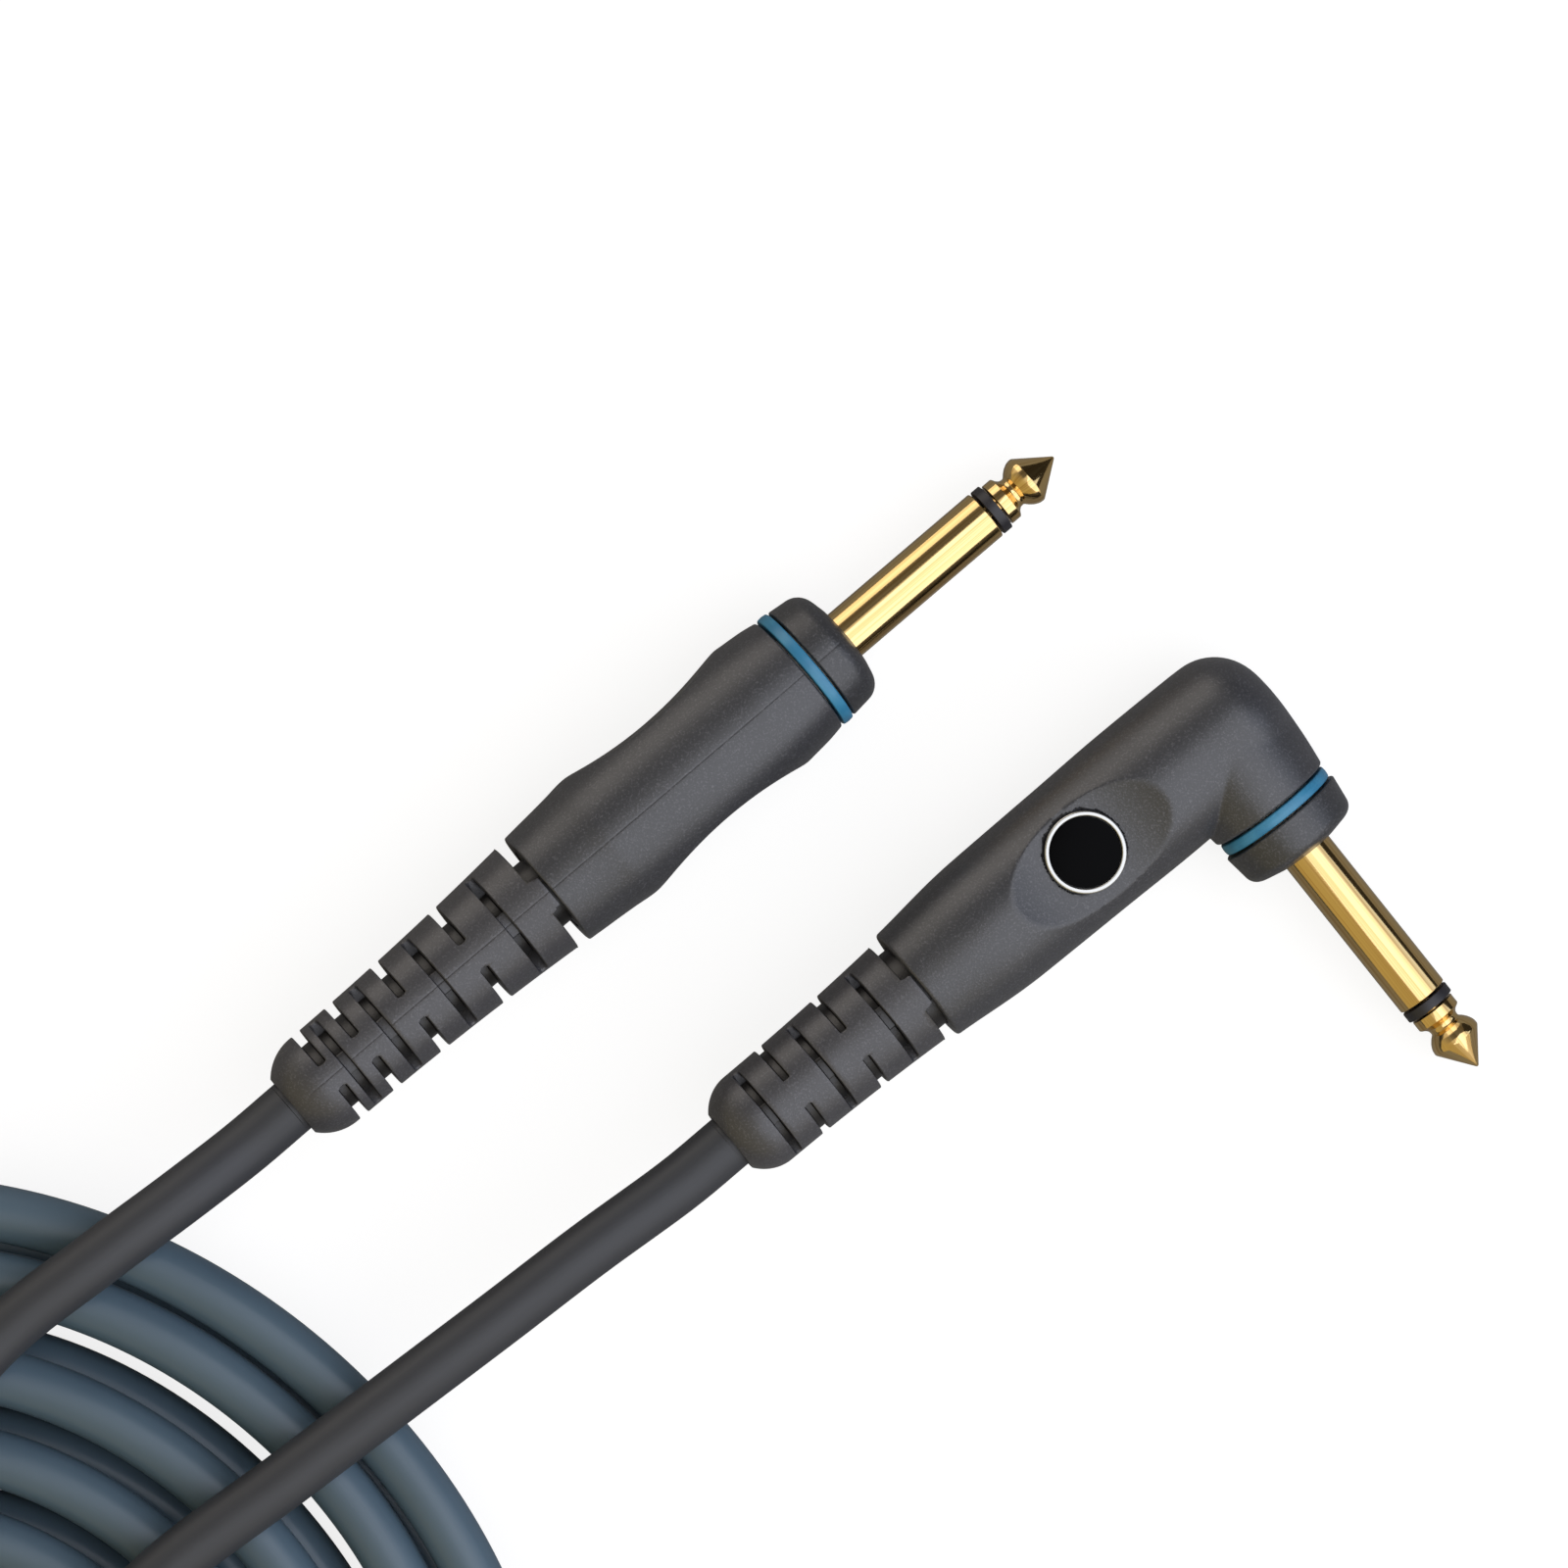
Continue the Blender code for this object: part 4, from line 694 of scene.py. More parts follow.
@dataclass
class StrainRelief:
    """Tapered sleeve of ribs between slots that turn by a quarter from one to the next, with a domed end."""

    owner: str
    place: np.ndarray
    front: float
    length: float
    dome_length: float
    front_radius: float
    rear_radius: float
    mouth: float  # rear edge of the first slot, which is open towards the grip
    slot_at: float
    slot_pitch: float
    pitch_loss: float
    slot_count: int
    core: float
    front_core: float
    seams: tuple[float, ...] = ()
    slot_width: float = 1.2 * MM
    bridge: float = 17.0  # half the angle that is left whole beside each slot
    web: float = 15.5  # half the angle of the shallow web in the middle of a front slot
    web_depth: float = 0.9 * MM
    lip: float = 4.1 * MM
    spigot_radius: float = 5.5 * MM
    spigot_length: float = 2.1 * MM
    cable_shows: float = 0.5 * MM
    edge: float = 0.13 * MM
    undercut: float = 0.4 * MM  # how far the first slot reaches in front of the front face
    end_slope: float = 0.8  # half the angle over which a slot's end rises
    full_shade_share: float = 0.85  # share of a slot's depth from where its painted shade is full
    seam_margin: float = 0.2 * MM  # how far outside the spigot the parting line starts

    def radius(self, back: np.ndarray) -> np.ndarray:
        """Radius at a distance behind the front face: it flattens out with the square of what is left."""
        share = np.minimum(back / (self.length - self.dome_length), 1.0)
        return self.rear_radius + (self.front_radius - self.rear_radius) * (1 - share) ** 2

    def depth_share(self, profile: np.ndarray) -> np.ndarray:
        """How deep points of (radius, distance back) lie in a slot, which sets the painted shade: 1 near its floor."""
        outside = self.radius(np.maximum(profile[..., 1], 0.0))
        return ease((outside - profile[..., 0]) / (self.full_shade_share * (outside - self.core)))

    def slot_rows(self, middle: float, floor: float) -> tuple[np.ndarray, np.ndarray]:
        """Rows across one slot, left whole and cut down to a floor radius.

        Args:
            middle: Distance of the slot's middle behind the front face.
            floor: Radius of the slot's floor.

        Returns:
            (radius, distance back) of the whole rows and of the cut rows.
        """
        half, edge = self.slot_width / 2, self.edge
        whole = middle + np.linspace(-half - edge, half + edge, 12)
        top = self.radius(middle)
        side = np.array([
            (top, -half - edge), (top - 0.3 * edge, -half - 0.3 * edge), (top - edge, -half),
            (0.5 * (top + floor), -half), (floor + edge, -half), (floor, -half + edge),
        ])
        cut = np.vstack([side, side[::-1] * [1, -1]])
        cut[:, 1] += middle
        cut[[0, -1], 0] = self.radius(whole[[0, -1]])
        return np.column_stack([self.radius(whole), whole]), cut

    def open_rows(self) -> tuple[np.ndarray, np.ndarray]:
        """Rows of the first slot, which is open towards the grip: spigot, front face and first rib edge."""
        top, edge, rear = self.front_radius, self.edge, self.mouth
        whole = np.array([
            (self.spigot_radius, -self.undercut), (self.spigot_radius, -self.undercut / 2), (self.spigot_radius, 0.0),
            (top - 2 * edge, 0.0), (top - 0.3 * edge, 0.3 * edge), (top, 1.5 * edge),
            (self.radius(0.5 * rear), 0.5 * rear), (self.radius(0.8 * rear), 0.8 * rear),
            (self.radius(rear + edge), rear + edge),
        ])
        cut = np.array([
            (self.spigot_radius, -self.undercut), (self.core, 0.01 * MM - self.undercut),
            (self.core, -self.undercut / 4), (self.core, 0.3 * rear), (self.core, rear - edge),
            (self.core + edge, rear), (top - edge, rear), (top - 0.3 * edge, rear + 0.3 * edge),
            (self.radius(rear + edge), rear + edge),
        ])
        return whole, cut

    def across(self, angles: np.ndarray, centre: float, half: float) -> np.ndarray:
        """Share of a slot or web at each angle: 1 within its half angle of two opposite centres, in degrees."""
        off = np.abs((np.degrees(angles) - centre + 90) % 180 - 90)
        return ease((half + self.end_slope - off) / (2 * self.end_slope))

    def grid(self, columns: np.ndarray) -> tuple[np.ndarray, np.ndarray]:
        """All rows from the spigot's mouth, down the cone and dome, and back up the bore.

        Each row has a whole place A, a cut place B and, in front slots, a web place C. With the slot's share s
        and the web's share w at an angle, the point is A + s ((1 - w)(B - A) + w (C - A)).

        Returns:
            Grid of points, and how deep each lies in a slot, from 0 to 1, for the painted shade.
        """
        bore = CABLE_RADIUS + GAP
        rows, back, pitch = [], self.slot_at, self.slot_pitch
        start = [(bore, -self.spigot_length, 0.0), (self.spigot_radius, -self.spigot_length, 0.2 * MM),
                 (self.spigot_radius, -0.5 * MM, 0.0)]
        rows.append(self.plain(rounded_outline(start, closed=False), columns))
        whole, cut = self.open_rows()
        rows.append(self.blended(whole, cut, self.across(columns, 0.0, 90 - self.bridge)))
        last = whole[-1, 1]
        for index in range(1, self.slot_count):
            back += pitch
            pitch -= self.pitch_loss
            faces_front = index % 2 == 1
            whole, cut = self.slot_rows(back, self.front_core if faces_front else self.core)
            between = np.linspace(last, whole[0, 1], 7)[1:-1]
            rows.append(self.plain(np.column_stack([self.radius(between), between]), columns))
            share = self.across(columns, 90.0 if faces_front else 0.0, 90 - self.bridge)
            if faces_front:
                web_rows = self.slot_rows(back, self.radius(back) - self.web_depth)[1]
                web = self.across(columns, 90.0, self.web)
                cut = cut[:, None, :] * (1 - web[:, None]) + web_rows[:, None, :] * web[:, None]
            rows.append(self.blended(whole, cut, share))
            last = whole[-1, 1]
        rows.append(self.plain(self.tail_rows(last, bore), columns))
        profile = np.concatenate(rows)
        painted_slot_shade = self.depth_share(profile)
        outer = profile[..., 0] > self.spigot_radius + self.seam_margin
        if self.seams:
            profile[..., 0] += outer * seam(columns, profile[..., 0])
        profile[..., 1] = self.front - profile[..., 1]
        return turned_grid(profile, columns), painted_slot_shade * (profile[..., 1] > self.front - self.length + self.dome_length)

    def plain(self, rows: np.ndarray, columns: np.ndarray) -> np.ndarray:
        """Rows that are the same all round."""
        return np.repeat(rows[:, None, :], len(columns), axis=1)

    def blended(self, whole: np.ndarray, cut: np.ndarray, share: np.ndarray) -> np.ndarray:
        """Rows that go from whole to cut by a share that depends on the angle."""
        cut = cut if cut.ndim == 3 else cut[:, None, :]
        return whole[:, None, :] + share[:, None] * (cut - whole[:, None, :])

    def tail_rows(self, last: float, bore: float) -> np.ndarray:
        """Rest of the cone, the dome as a quarter ellipse, the lip and the bore."""
        cone_end = self.length - self.dome_length
        cone = np.linspace(last, cone_end, 6)[1:]
        turn = math.acos(self.lip / self.rear_radius)
        angles = np.linspace(0.0, turn, 16)[1:]
        dome = np.column_stack([self.rear_radius * np.cos(angles),
                                cone_end + self.dome_length * np.sin(angles) / math.sin(turn)])
        end = rounded_outline([(self.lip, self.length - 0.01 * MM, 0.0), (bore, self.length, 0.15 * MM),
                               (bore, -self.spigot_length + 0.01 * MM, 0.0)], closed=False)
        return np.vstack([np.column_stack([self.radius(cone), cone]), dome, end[1:]])

    def exit_height(self) -> float:
        """Where the cable leaves, in the plug's frame."""
        return self.front - self.length - self.cable_shows

    def build(self) -> None:
        """Makes the slotted moulding, with painted shade in its slots."""
        grid, painted_slot_shade = self.grid(turned_columns(240, self.seams))
        piece = skin(f"{self.owner}_relief_moulding", carried(grid, self.place), Ends.LOOP, 32.0)
        # how deep each point lies in a slot, which the relief's material turns into painted shade
        deep = piece.data.attributes.new("painted_slot_shade", "FLOAT", "POINT").data
        deep.foreach_set("value", painted_slot_shade.astype(np.float32).ravel())
        present(piece, RELIEF_RUBBER, "relief", f"{self.owner}_strain_relief")


# ---------------------------------------------------------------- straight grip


@dataclass
class StraightGrip:
    """Barrel-shaped grip with a broad finger scoop on each side."""

    place: np.ndarray
    length: float = 39.3 * MM
    bore: float = 5.8 * MM
    scoop_radius: float = 46.0 * MM
    scoop_floor: float = 7.22 * MM
    scoop_at: float = -24.65 * MM
    crease: float = 0.22 * MM
    edge: float = 0.3 * MM
    stations: Stations = (  # height and radius
        (-46.4, 7.80), (-44.2, 7.98), (-41.9, 8.15), (-39.5, 8.36), (-37.0, 8.62), (-25.0, 8.85), (-14.0, 8.70),
        (-11.6, 8.52), (-9.3, 8.32), (-8.0, 8.12), (-7.1, 7.95),
    )

    def radius(self, height: np.ndarray, angles: np.ndarray) -> np.ndarray:
        """Outer radius: the lesser, softly blended, of the barrel's and the scoop cylinder's x over cos a."""
        barrel = fair(np.array(self.stations) * MM, height)
        reach = np.clip(self.scoop_radius**2 - (height - self.scoop_at) ** 2, 0.0, None)
        flank = self.scoop_floor + self.scoop_radius - np.sqrt(reach)
        side = flank / np.maximum(np.abs(np.cos(angles)), 0.05)
        return soft_least(barrel, side, self.crease) + seam(angles, barrel)

    def build(self) -> None:
        """Makes the moulding: outer skin, end faces with rounded edges, and bore."""
        columns = turned_columns(240, FRONT_AND_BACK)
        rear = GRIP_FRONT - self.length
        height = np.linspace(GRIP_FRONT - self.edge, rear + self.edge, 150)
        outer = self.radius(height[:, None], columns[None, :])
        share = np.linspace(0.0, 1.0, 6)[:-1]
        inset = self.edge * (1 - np.sqrt(1 - (1 - share[:, None]) ** 2))
        radii = np.vstack([outer[:1] - inset, outer, outer[-1:] - inset[::-1]])
        heights = np.concatenate([GRIP_FRONT - self.edge * share, height, rear + self.edge * share[::-1]])
        sides = np.stack([radii, np.broadcast_to(heights[:, None], radii.shape)], axis=2)
        bore = np.array([(self.bore, rear), (self.bore, (rear + GRIP_FRONT) / 2), (self.bore, GRIP_FRONT)])
        profile = np.concatenate([sides, np.repeat(bore[:, None, :], len(columns), axis=1)])
        piece = turned("straight_grip_moulding", profile, columns, self.place, Ends.LOOP)
        present(piece, GRIP_RUBBER, "grip", "straight_grip")


# ---------------------------------------------------------------- right-angle grip and badge


SCOOP_AT = -21.3 * MM  # middle of the scoop and the badge along the body


@dataclass
class ElbowGrip:
    """Right-angle grip: a body with a rounded end and a branch to the pin, with a leaf-shaped scoop on its face.

    The skin is where a field is zero. The field is the signed distance, nearly, from the body and the branch,
    blended at the mitre, less the scoops and the badge's pocket. Rings lie square to the body, fan round a
    pivot outside the inner corner, and lie square to the branch; along each ring's rays the zero is found by
    halving an interval.
    """

    place: np.ndarray
    rear: float = -46.2 * MM
    end: float = 8.35 * MM
    corner: float = 6.7 * MM
    mitre: float = 0.2 * MM
    edge: float = 0.35 * MM
    body_bore: float = 5.8 * MM
    branch_bore: float = 5.7 * MM
    leaf_length: float = 22.2 * MM
    leaf_depth: float = 2.4 * MM
    leaf_floor: float = 6.4 * MM
    leaf_turn: float = math.radians(3.9)  # how far the scoops turn towards the branch and away from it
    leaf_crease: float = 0.07 * MM
    pocket_radius: float = 5.03 * MM
    pocket_floor: float = 6.25 * MM
    pocket_crease: float = 0.05 * MM
    pivot_margin: float = 0.9 * MM
    ring_step: float = 0.45 * MM
    fine_step: float = 0.13 * MM
    fine_reach: float = 6.2 * MM  # half the stretch of close rings round the badge
    search_reach: float = 22 * MM  # no ray is longer
    halvings: int = 32
    rim_rows: tuple[float, ...] = (0.0, 0.05, 0.2, 0.45, 0.75)  # rings on a rim, as shares of its edge
    body: Stations = (  # place along the axis and radius
        (-46.2, 7.60), (-43.7, 7.82), (-41.4, 8.06), (-39.0, 8.30), (-36.8, 8.48), (-34.4, 8.60), (-27.5, 8.72),
        (-20.5, 8.82), (-11.2, 8.98), (0.0, 8.87), (1.9, 8.80),
    )
    branch: Stations = ((0.0, 8.60), (1.2, 8.62), (5.9, 8.38), (8.2, 8.15), (9.9, 7.93), (10.4, 7.87))

    def branch_way(self) -> np.ndarray:
        """Direction of the branch, away from the crossing, in the body's frame."""
        return np.array([-math.sin(ELBOW_ANGLE), 0.0, math.cos(ELBOW_ANGLE)])

    def from_branch(self, p: np.ndarray) -> tuple[np.ndarray, np.ndarray]:
        """How far points lie along the branch's axis, and off it; behind the crossing, off its end."""
        way = self.branch_way()
        along = p @ way
        off = np.linalg.norm(p - along[..., None] * way, axis=-1)
        return along, np.hypot(off, np.minimum(along, 0.0))

    def branch_end(self) -> float:
        """Distance of the branch's front face from the crossing."""
        return BRANCH_LENGTH + GRIP_FRONT

    def rounded_rim(self, off: np.ndarray) -> np.ndarray:
        """How far a rim is drawn in at a distance from its face: a quarter circle of the edge's radius."""
        share = np.clip(1 - off / self.edge, 0.0, 1.0)
        return self.edge * (1 - np.sqrt(1 - share**2))

    def outer_field(self, p: np.ndarray) -> np.ndarray:
        """Field of the outside: negative within the rubber."""
        x, y, z = p[..., 0], p[..., 1], p[..., 2]
        out = np.hypot(x, y)
        barrel = out - fair(np.array(self.body) * MM, np.clip(z, self.rear, self.end - self.corner))
        barrel += self.rounded_rim(z - self.rear)
        flat = self.body[-1][1] * MM - self.corner
        cap = np.hypot(np.maximum(out - flat, 0.0), z - (self.end - self.corner)) - self.corner
        body = np.where(z > self.end - self.corner, cap, barrel)
        along, off = self.from_branch(p)
        spread = fair(np.array(self.branch) * MM, np.clip(along, 0.0, self.branch_end()))
        arm = off - spread + self.rounded_rim(self.branch_end() - along)
        whole = soft_least(body, arm, self.mitre)
        half = self.leaf_length / 2
        leaf_radius = (half**2 + self.leaf_depth**2) / (2 * self.leaf_depth)
        rise = np.abs(y * math.cos(self.leaf_turn) - x * math.sin(self.leaf_turn))
        leaf = np.hypot(rise - self.leaf_floor - leaf_radius, z - SCOOP_AT) - leaf_radius
        whole = soft_most(whole, -leaf, self.leaf_crease)
        pocket = np.maximum(np.hypot(x, z - SCOOP_AT) - self.pocket_radius, self.pocket_floor - y)
        return soft_most(whole, -pocket, self.pocket_crease)

    def inner_field(self, p: np.ndarray) -> np.ndarray:
        """Field of the bores: two cylinders with round ends that meet at the crossing."""
        body = np.hypot(np.hypot(p[..., 0], p[..., 1]), np.maximum(p[..., 2], 0.0)) - self.body_bore
        return np.minimum(body, self.from_branch(p)[1] - self.branch_bore)

    def rings(self) -> tuple[np.ndarray, np.ndarray]:
        """Middle and sideways direction of each ring, from the branch's front to the body's rear."""
        way = self.branch_way()
        across = np.array([way[2], 0.0, -way[0]])  # square to the branch, towards the outer corner
        reach = self.body[-3][1] * MM + self.pivot_margin
        pivot_z = -(self.branch[1][1] * MM + self.pivot_margin)
        pivot = np.array([-reach, 0.0, pivot_z])
        start = pivot @ way
        rim = self.branch_end() - self.edge * np.array(self.rim_rows)
        arm = np.append(rim, start)
        arm_middles, arm_ways = arm[:, None] * way, np.repeat(across[None, :], len(arm), axis=0)
        turn = np.linspace(0.0, 1.0, 56)[1:-1, None]
        begin = math.atan2(across[2], across[0])
        angle = begin - begin * turn
        fan_ways = np.column_stack([np.cos(angle), np.zeros(len(angle)), np.sin(angle)])
        near = np.linalg.norm(start * way - pivot)
        fan_middles = pivot + (near + (reach - near) * turn) * fan_ways
        edges = [pivot_z, SCOOP_AT + self.fine_reach, SCOOP_AT - self.fine_reach, self.rear + self.edge]
        steps = (self.ring_step, self.fine_step, self.ring_step)
        parts = [np.linspace(a, b, round((a - b) / s), endpoint=False) for a, b, s in zip(edges, edges[1:], steps)]
        heights = np.concatenate([*parts, self.rear + self.edge * np.array([1.0, *self.rim_rows[::-1]])])
        body_middles = np.column_stack([np.zeros((len(heights), 2)), heights])
        body_ways = np.repeat([[1.0, 0.0, 0.0]], len(heights), axis=0)
        return np.vstack([arm_middles, fan_middles, body_middles]), np.vstack([arm_ways, fan_ways, body_ways])

    def shell(self, middles: np.ndarray, ways: np.ndarray, angles: np.ndarray, field_of: Field) -> np.ndarray:
        """Points where the field crosses zero along each ring's rays, by halving an interval.

        Args:
            middles: Middle of each ring.
            ways: Sideways direction of each ring.
            angles: Angles of the rays.
            field_of: The field.

        Returns:
            Grid of points in the body's frame.
        """
        up = np.array([0.0, 1.0, 0.0])
        rays = np.cos(angles)[None, :, None] * ways[:, None, :] + np.sin(angles)[None, :, None] * up
        low = np.zeros((len(middles), len(angles)))
        high = np.full_like(low, self.search_reach)
        for _ in range(self.halvings):
            middle = (low + high) / 2
            inside = field_of(middles[:, None, :] + middle[..., None] * rays) < 0
            low, high = np.where(inside, middle, low), np.where(inside, high, middle)
        return middles[:, None, :] + low[..., None] * rays

    def build(self) -> None:
        """Makes the moulding: outer skin from front to rear, and the bores back to the front."""
        columns = turned_columns(180, fine=(52.0, 128.0))
        middles, ways = self.rings()
        outer = self.shell(middles, ways, columns, self.outer_field)
        every = np.r_[0, 5 : len(middles) - 5 : 9, len(middles) - 1]
        inner = self.shell(middles[every], ways[every], columns, self.inner_field)[::-1]
        grid = carried(np.concatenate([outer, inner]), self.place)
        piece = skin("angled_grip_moulding", grid[:, ::-1], Ends.LOOP, 34.0)
        present(piece, GRIP_RUBBER, "grip", "angled_grip")


@dataclass
class Badge:
    """Plain domed disc in a bright rim, set in the pocket of the scoop."""

    place: np.ndarray
    floor: float = 6.55 * MM
    radius: float = 4.9 * MM
    rim_width: float = 0.58 * MM
    rim_height: float = 0.9 * MM
    disc_height: float = 0.62 * MM
    dome_rise: float = 0.28 * MM
    slack: float = 0.12 * MM  # between the disc and the rim

    def build(self) -> None:
        """Makes the rim and the disc."""
        turn = Matrix.Translation((0.0, self.floor, SCOOP_AT)) @ Matrix.Rotation(-math.pi / 2, 4, "X")
        place = self.place @ np.array(turn)
        columns = turned_columns(144)
        inner, top = self.radius - self.rim_width, self.rim_height
        rim = rounded_outline([(inner, 0.0, 0.0), (inner, top, 0.15 * MM), (self.radius, top, 0.2 * MM),
                               (self.radius, 0.0, 0.0)], closed=True)
        piece = turned("angled_badge_bezel", rim, columns, place, Ends.LOOP)
        present(piece, BRIGHT_NICKEL, "rim", "angled_badge_rim")
        reach = inner - self.slack
        share = np.linspace(0.02, 1.0, 24)
        dome = np.column_stack([reach * share, self.disc_height + self.dome_rise * (1 - share**2)])
        edge = rounded_outline([(reach * 0.99, self.disc_height, 0.0), (reach, self.disc_height, 0.03 * MM),
                                (reach, 0.0, 0.0), (0.2 * MM, 0.0, 0.0)], closed=False)
        disc = turned("angled_badge_lens", np.vstack([dome[:-1], edge[1:]]), columns, place, Ends.CAPS)
        present(disc, BLACK_RESIN, "badge", "angled_badge_disc")


# ---------------------------------------------------------------- cable


@dataclass
class Coil:
    """Two layers of turns: the lower winds outwards, the upper inwards, with a climb where they reverse.

    Seen from above the turns are ovals, told by the support distance H at a direction n; with t a quarter turn
    on, a point is centre + H n + H' t, and the cable runs along -t.
    """

    centre: tuple[float, float] = (-0.1036, -0.1089)
    lean: float = math.radians(51.0)
    narrow_bend: float = 0.0500
    broad_bend: float = 0.0837
    start: float = math.radians(215.0)
    lower_turns: float = 4.203
    upper_turns: float = 4.75533
    lower_pitch: float = 0.00977
    upper_pitch: float = 0.00937
    lower_height: float = 0.0034
    layer_rise: float = 0.0074
    outer_inset: float = -0.0023
    side_squeeze: float = 0.108
    oval_squeeze: float = -0.06
    reversal: float = math.radians(30.0)
    tail_inset: float = 0.0058
    tail_angle: float = math.radians(130.0)
    samples: int = 6000
    strays: tuple[tuple[float, float, float], ...] = (  # (distance outwards, turns after the reversal, half angle)
        (0.0019, 1.252, math.radians(110.0)),
        (-0.0025, -1.665, math.radians(70.0)),
    )

    def outer_support(self, angle: np.ndarray) -> np.ndarray:
        """Support distance of the outermost oval, whose bend goes with the fourth power of a cosine."""
        spread = self.broad_bend - self.narrow_bend
        mean = self.narrow_bend + spread * 3 / 8
        return mean - spread / 6 * np.cos(2 * angle) - spread / 120 * np.cos(4 * angle)

    def course(self, step: float) -> tuple[np.ndarray, np.ndarray, np.ndarray]:
        """Centre line of the coil, evenly spaced, and the way it runs at its first and last point."""
        end = (self.lower_turns + self.upper_turns) * TURN
        wound = np.linspace(0.0, end, self.samples)
        past = wound - self.lower_turns * TURN
        change = (self.lower_pitch + self.upper_pitch) * self.reversal / TURN
        inset = self.outer_inset - self.lower_pitch * past / TURN + change * np.logaddexp(0, past / self.reversal)
        inset += self.tail_inset * (ease(1 - wound / self.tail_angle) + ease(1 - (end - wound) / self.tail_angle))
        stray = np.zeros(len(wound))
        for distance, turns, half_angle in self.strays:
            share = np.clip(np.abs(past - turns * TURN) / half_angle, 0.0, 1.0)
            stray += distance * np.cos(share * math.pi / 2) ** 2
        direction = self.start - wound
        lean = direction - self.lean
        pitch = 1 - self.side_squeeze - self.oval_squeeze + self.side_squeeze * np.cos(lean)
        pitch += self.oval_squeeze * np.cos(2 * lean)
        support = self.outer_support(lean) - inset * pitch + stray
        slope = np.gradient(support, direction)
        normal = np.column_stack([np.cos(direction), np.sin(direction)])
        tangent = np.column_stack([-np.sin(direction), np.cos(direction)])
        ground = np.array(self.centre) + support[:, None] * normal + slope[:, None] * tangent
        height = self.lower_height + self.layer_rise * ease(past / math.pi + 0.5)
        line = np.column_stack([ground, height])
        ways = np.column_stack([-tangent, np.zeros(len(wound))])
        return evenly(line, step), ways[0], ways[-1]


def evenly(line: np.ndarray, step: float) -> np.ndarray:
    """The line's points again, at an even spacing."""
    along = np.concatenate([[0.0], np.cumsum(np.linalg.norm(np.diff(line, axis=0), axis=1))])
    places = np.linspace(0.0, along[-1], round(along[-1] / step) + 1)
    return np.column_stack([np.interp(places, along, line[:, axis]) for axis in range(3)])


def smooth_route(stops: Sequence[Sequence[float]], step: float) -> np.ndarray:
    """Centripetal Catmull-Rom curve through the stops, at an even spacing.

    Args:
        stops: Points of the route.
        step: Spacing of the result.

    Returns:
        Rows of points.
    """
    route = np.array([tuple(stop) for stop in stops])
    route = np.vstack([2 * route[0] - route[1], route, 2 * route[-1] - route[-2]])
    knots = np.concatenate([[0.0], np.cumsum(np.linalg.norm(np.diff(route, axis=0), axis=1) ** 0.5)])
    spans = []
    for i in range(1, len(route) - 2):
        t = np.linspace(knots[i], knots[i + 1], 40, endpoint=i == len(route) - 3)[:, None]
        k, p = knots[i - 1 : i + 3], route[i - 1 : i + 3]
        a = [((k[j + 1] - t) * p[j] + (t - k[j]) * p[j + 1]) / (k[j + 1] - k[j]) for j in range(3)]
        b = [((k[j + 2] - t) * a[j] + (t - k[j]) * a[j + 1]) / (k[j + 2] - k[j]) for j in range(2)]
        spans.append(((k[2] - t) * b[0] + (t - k[1]) * b[1]) / (k[2] - k[1]))
    return evenly(np.vstack(spans), step)


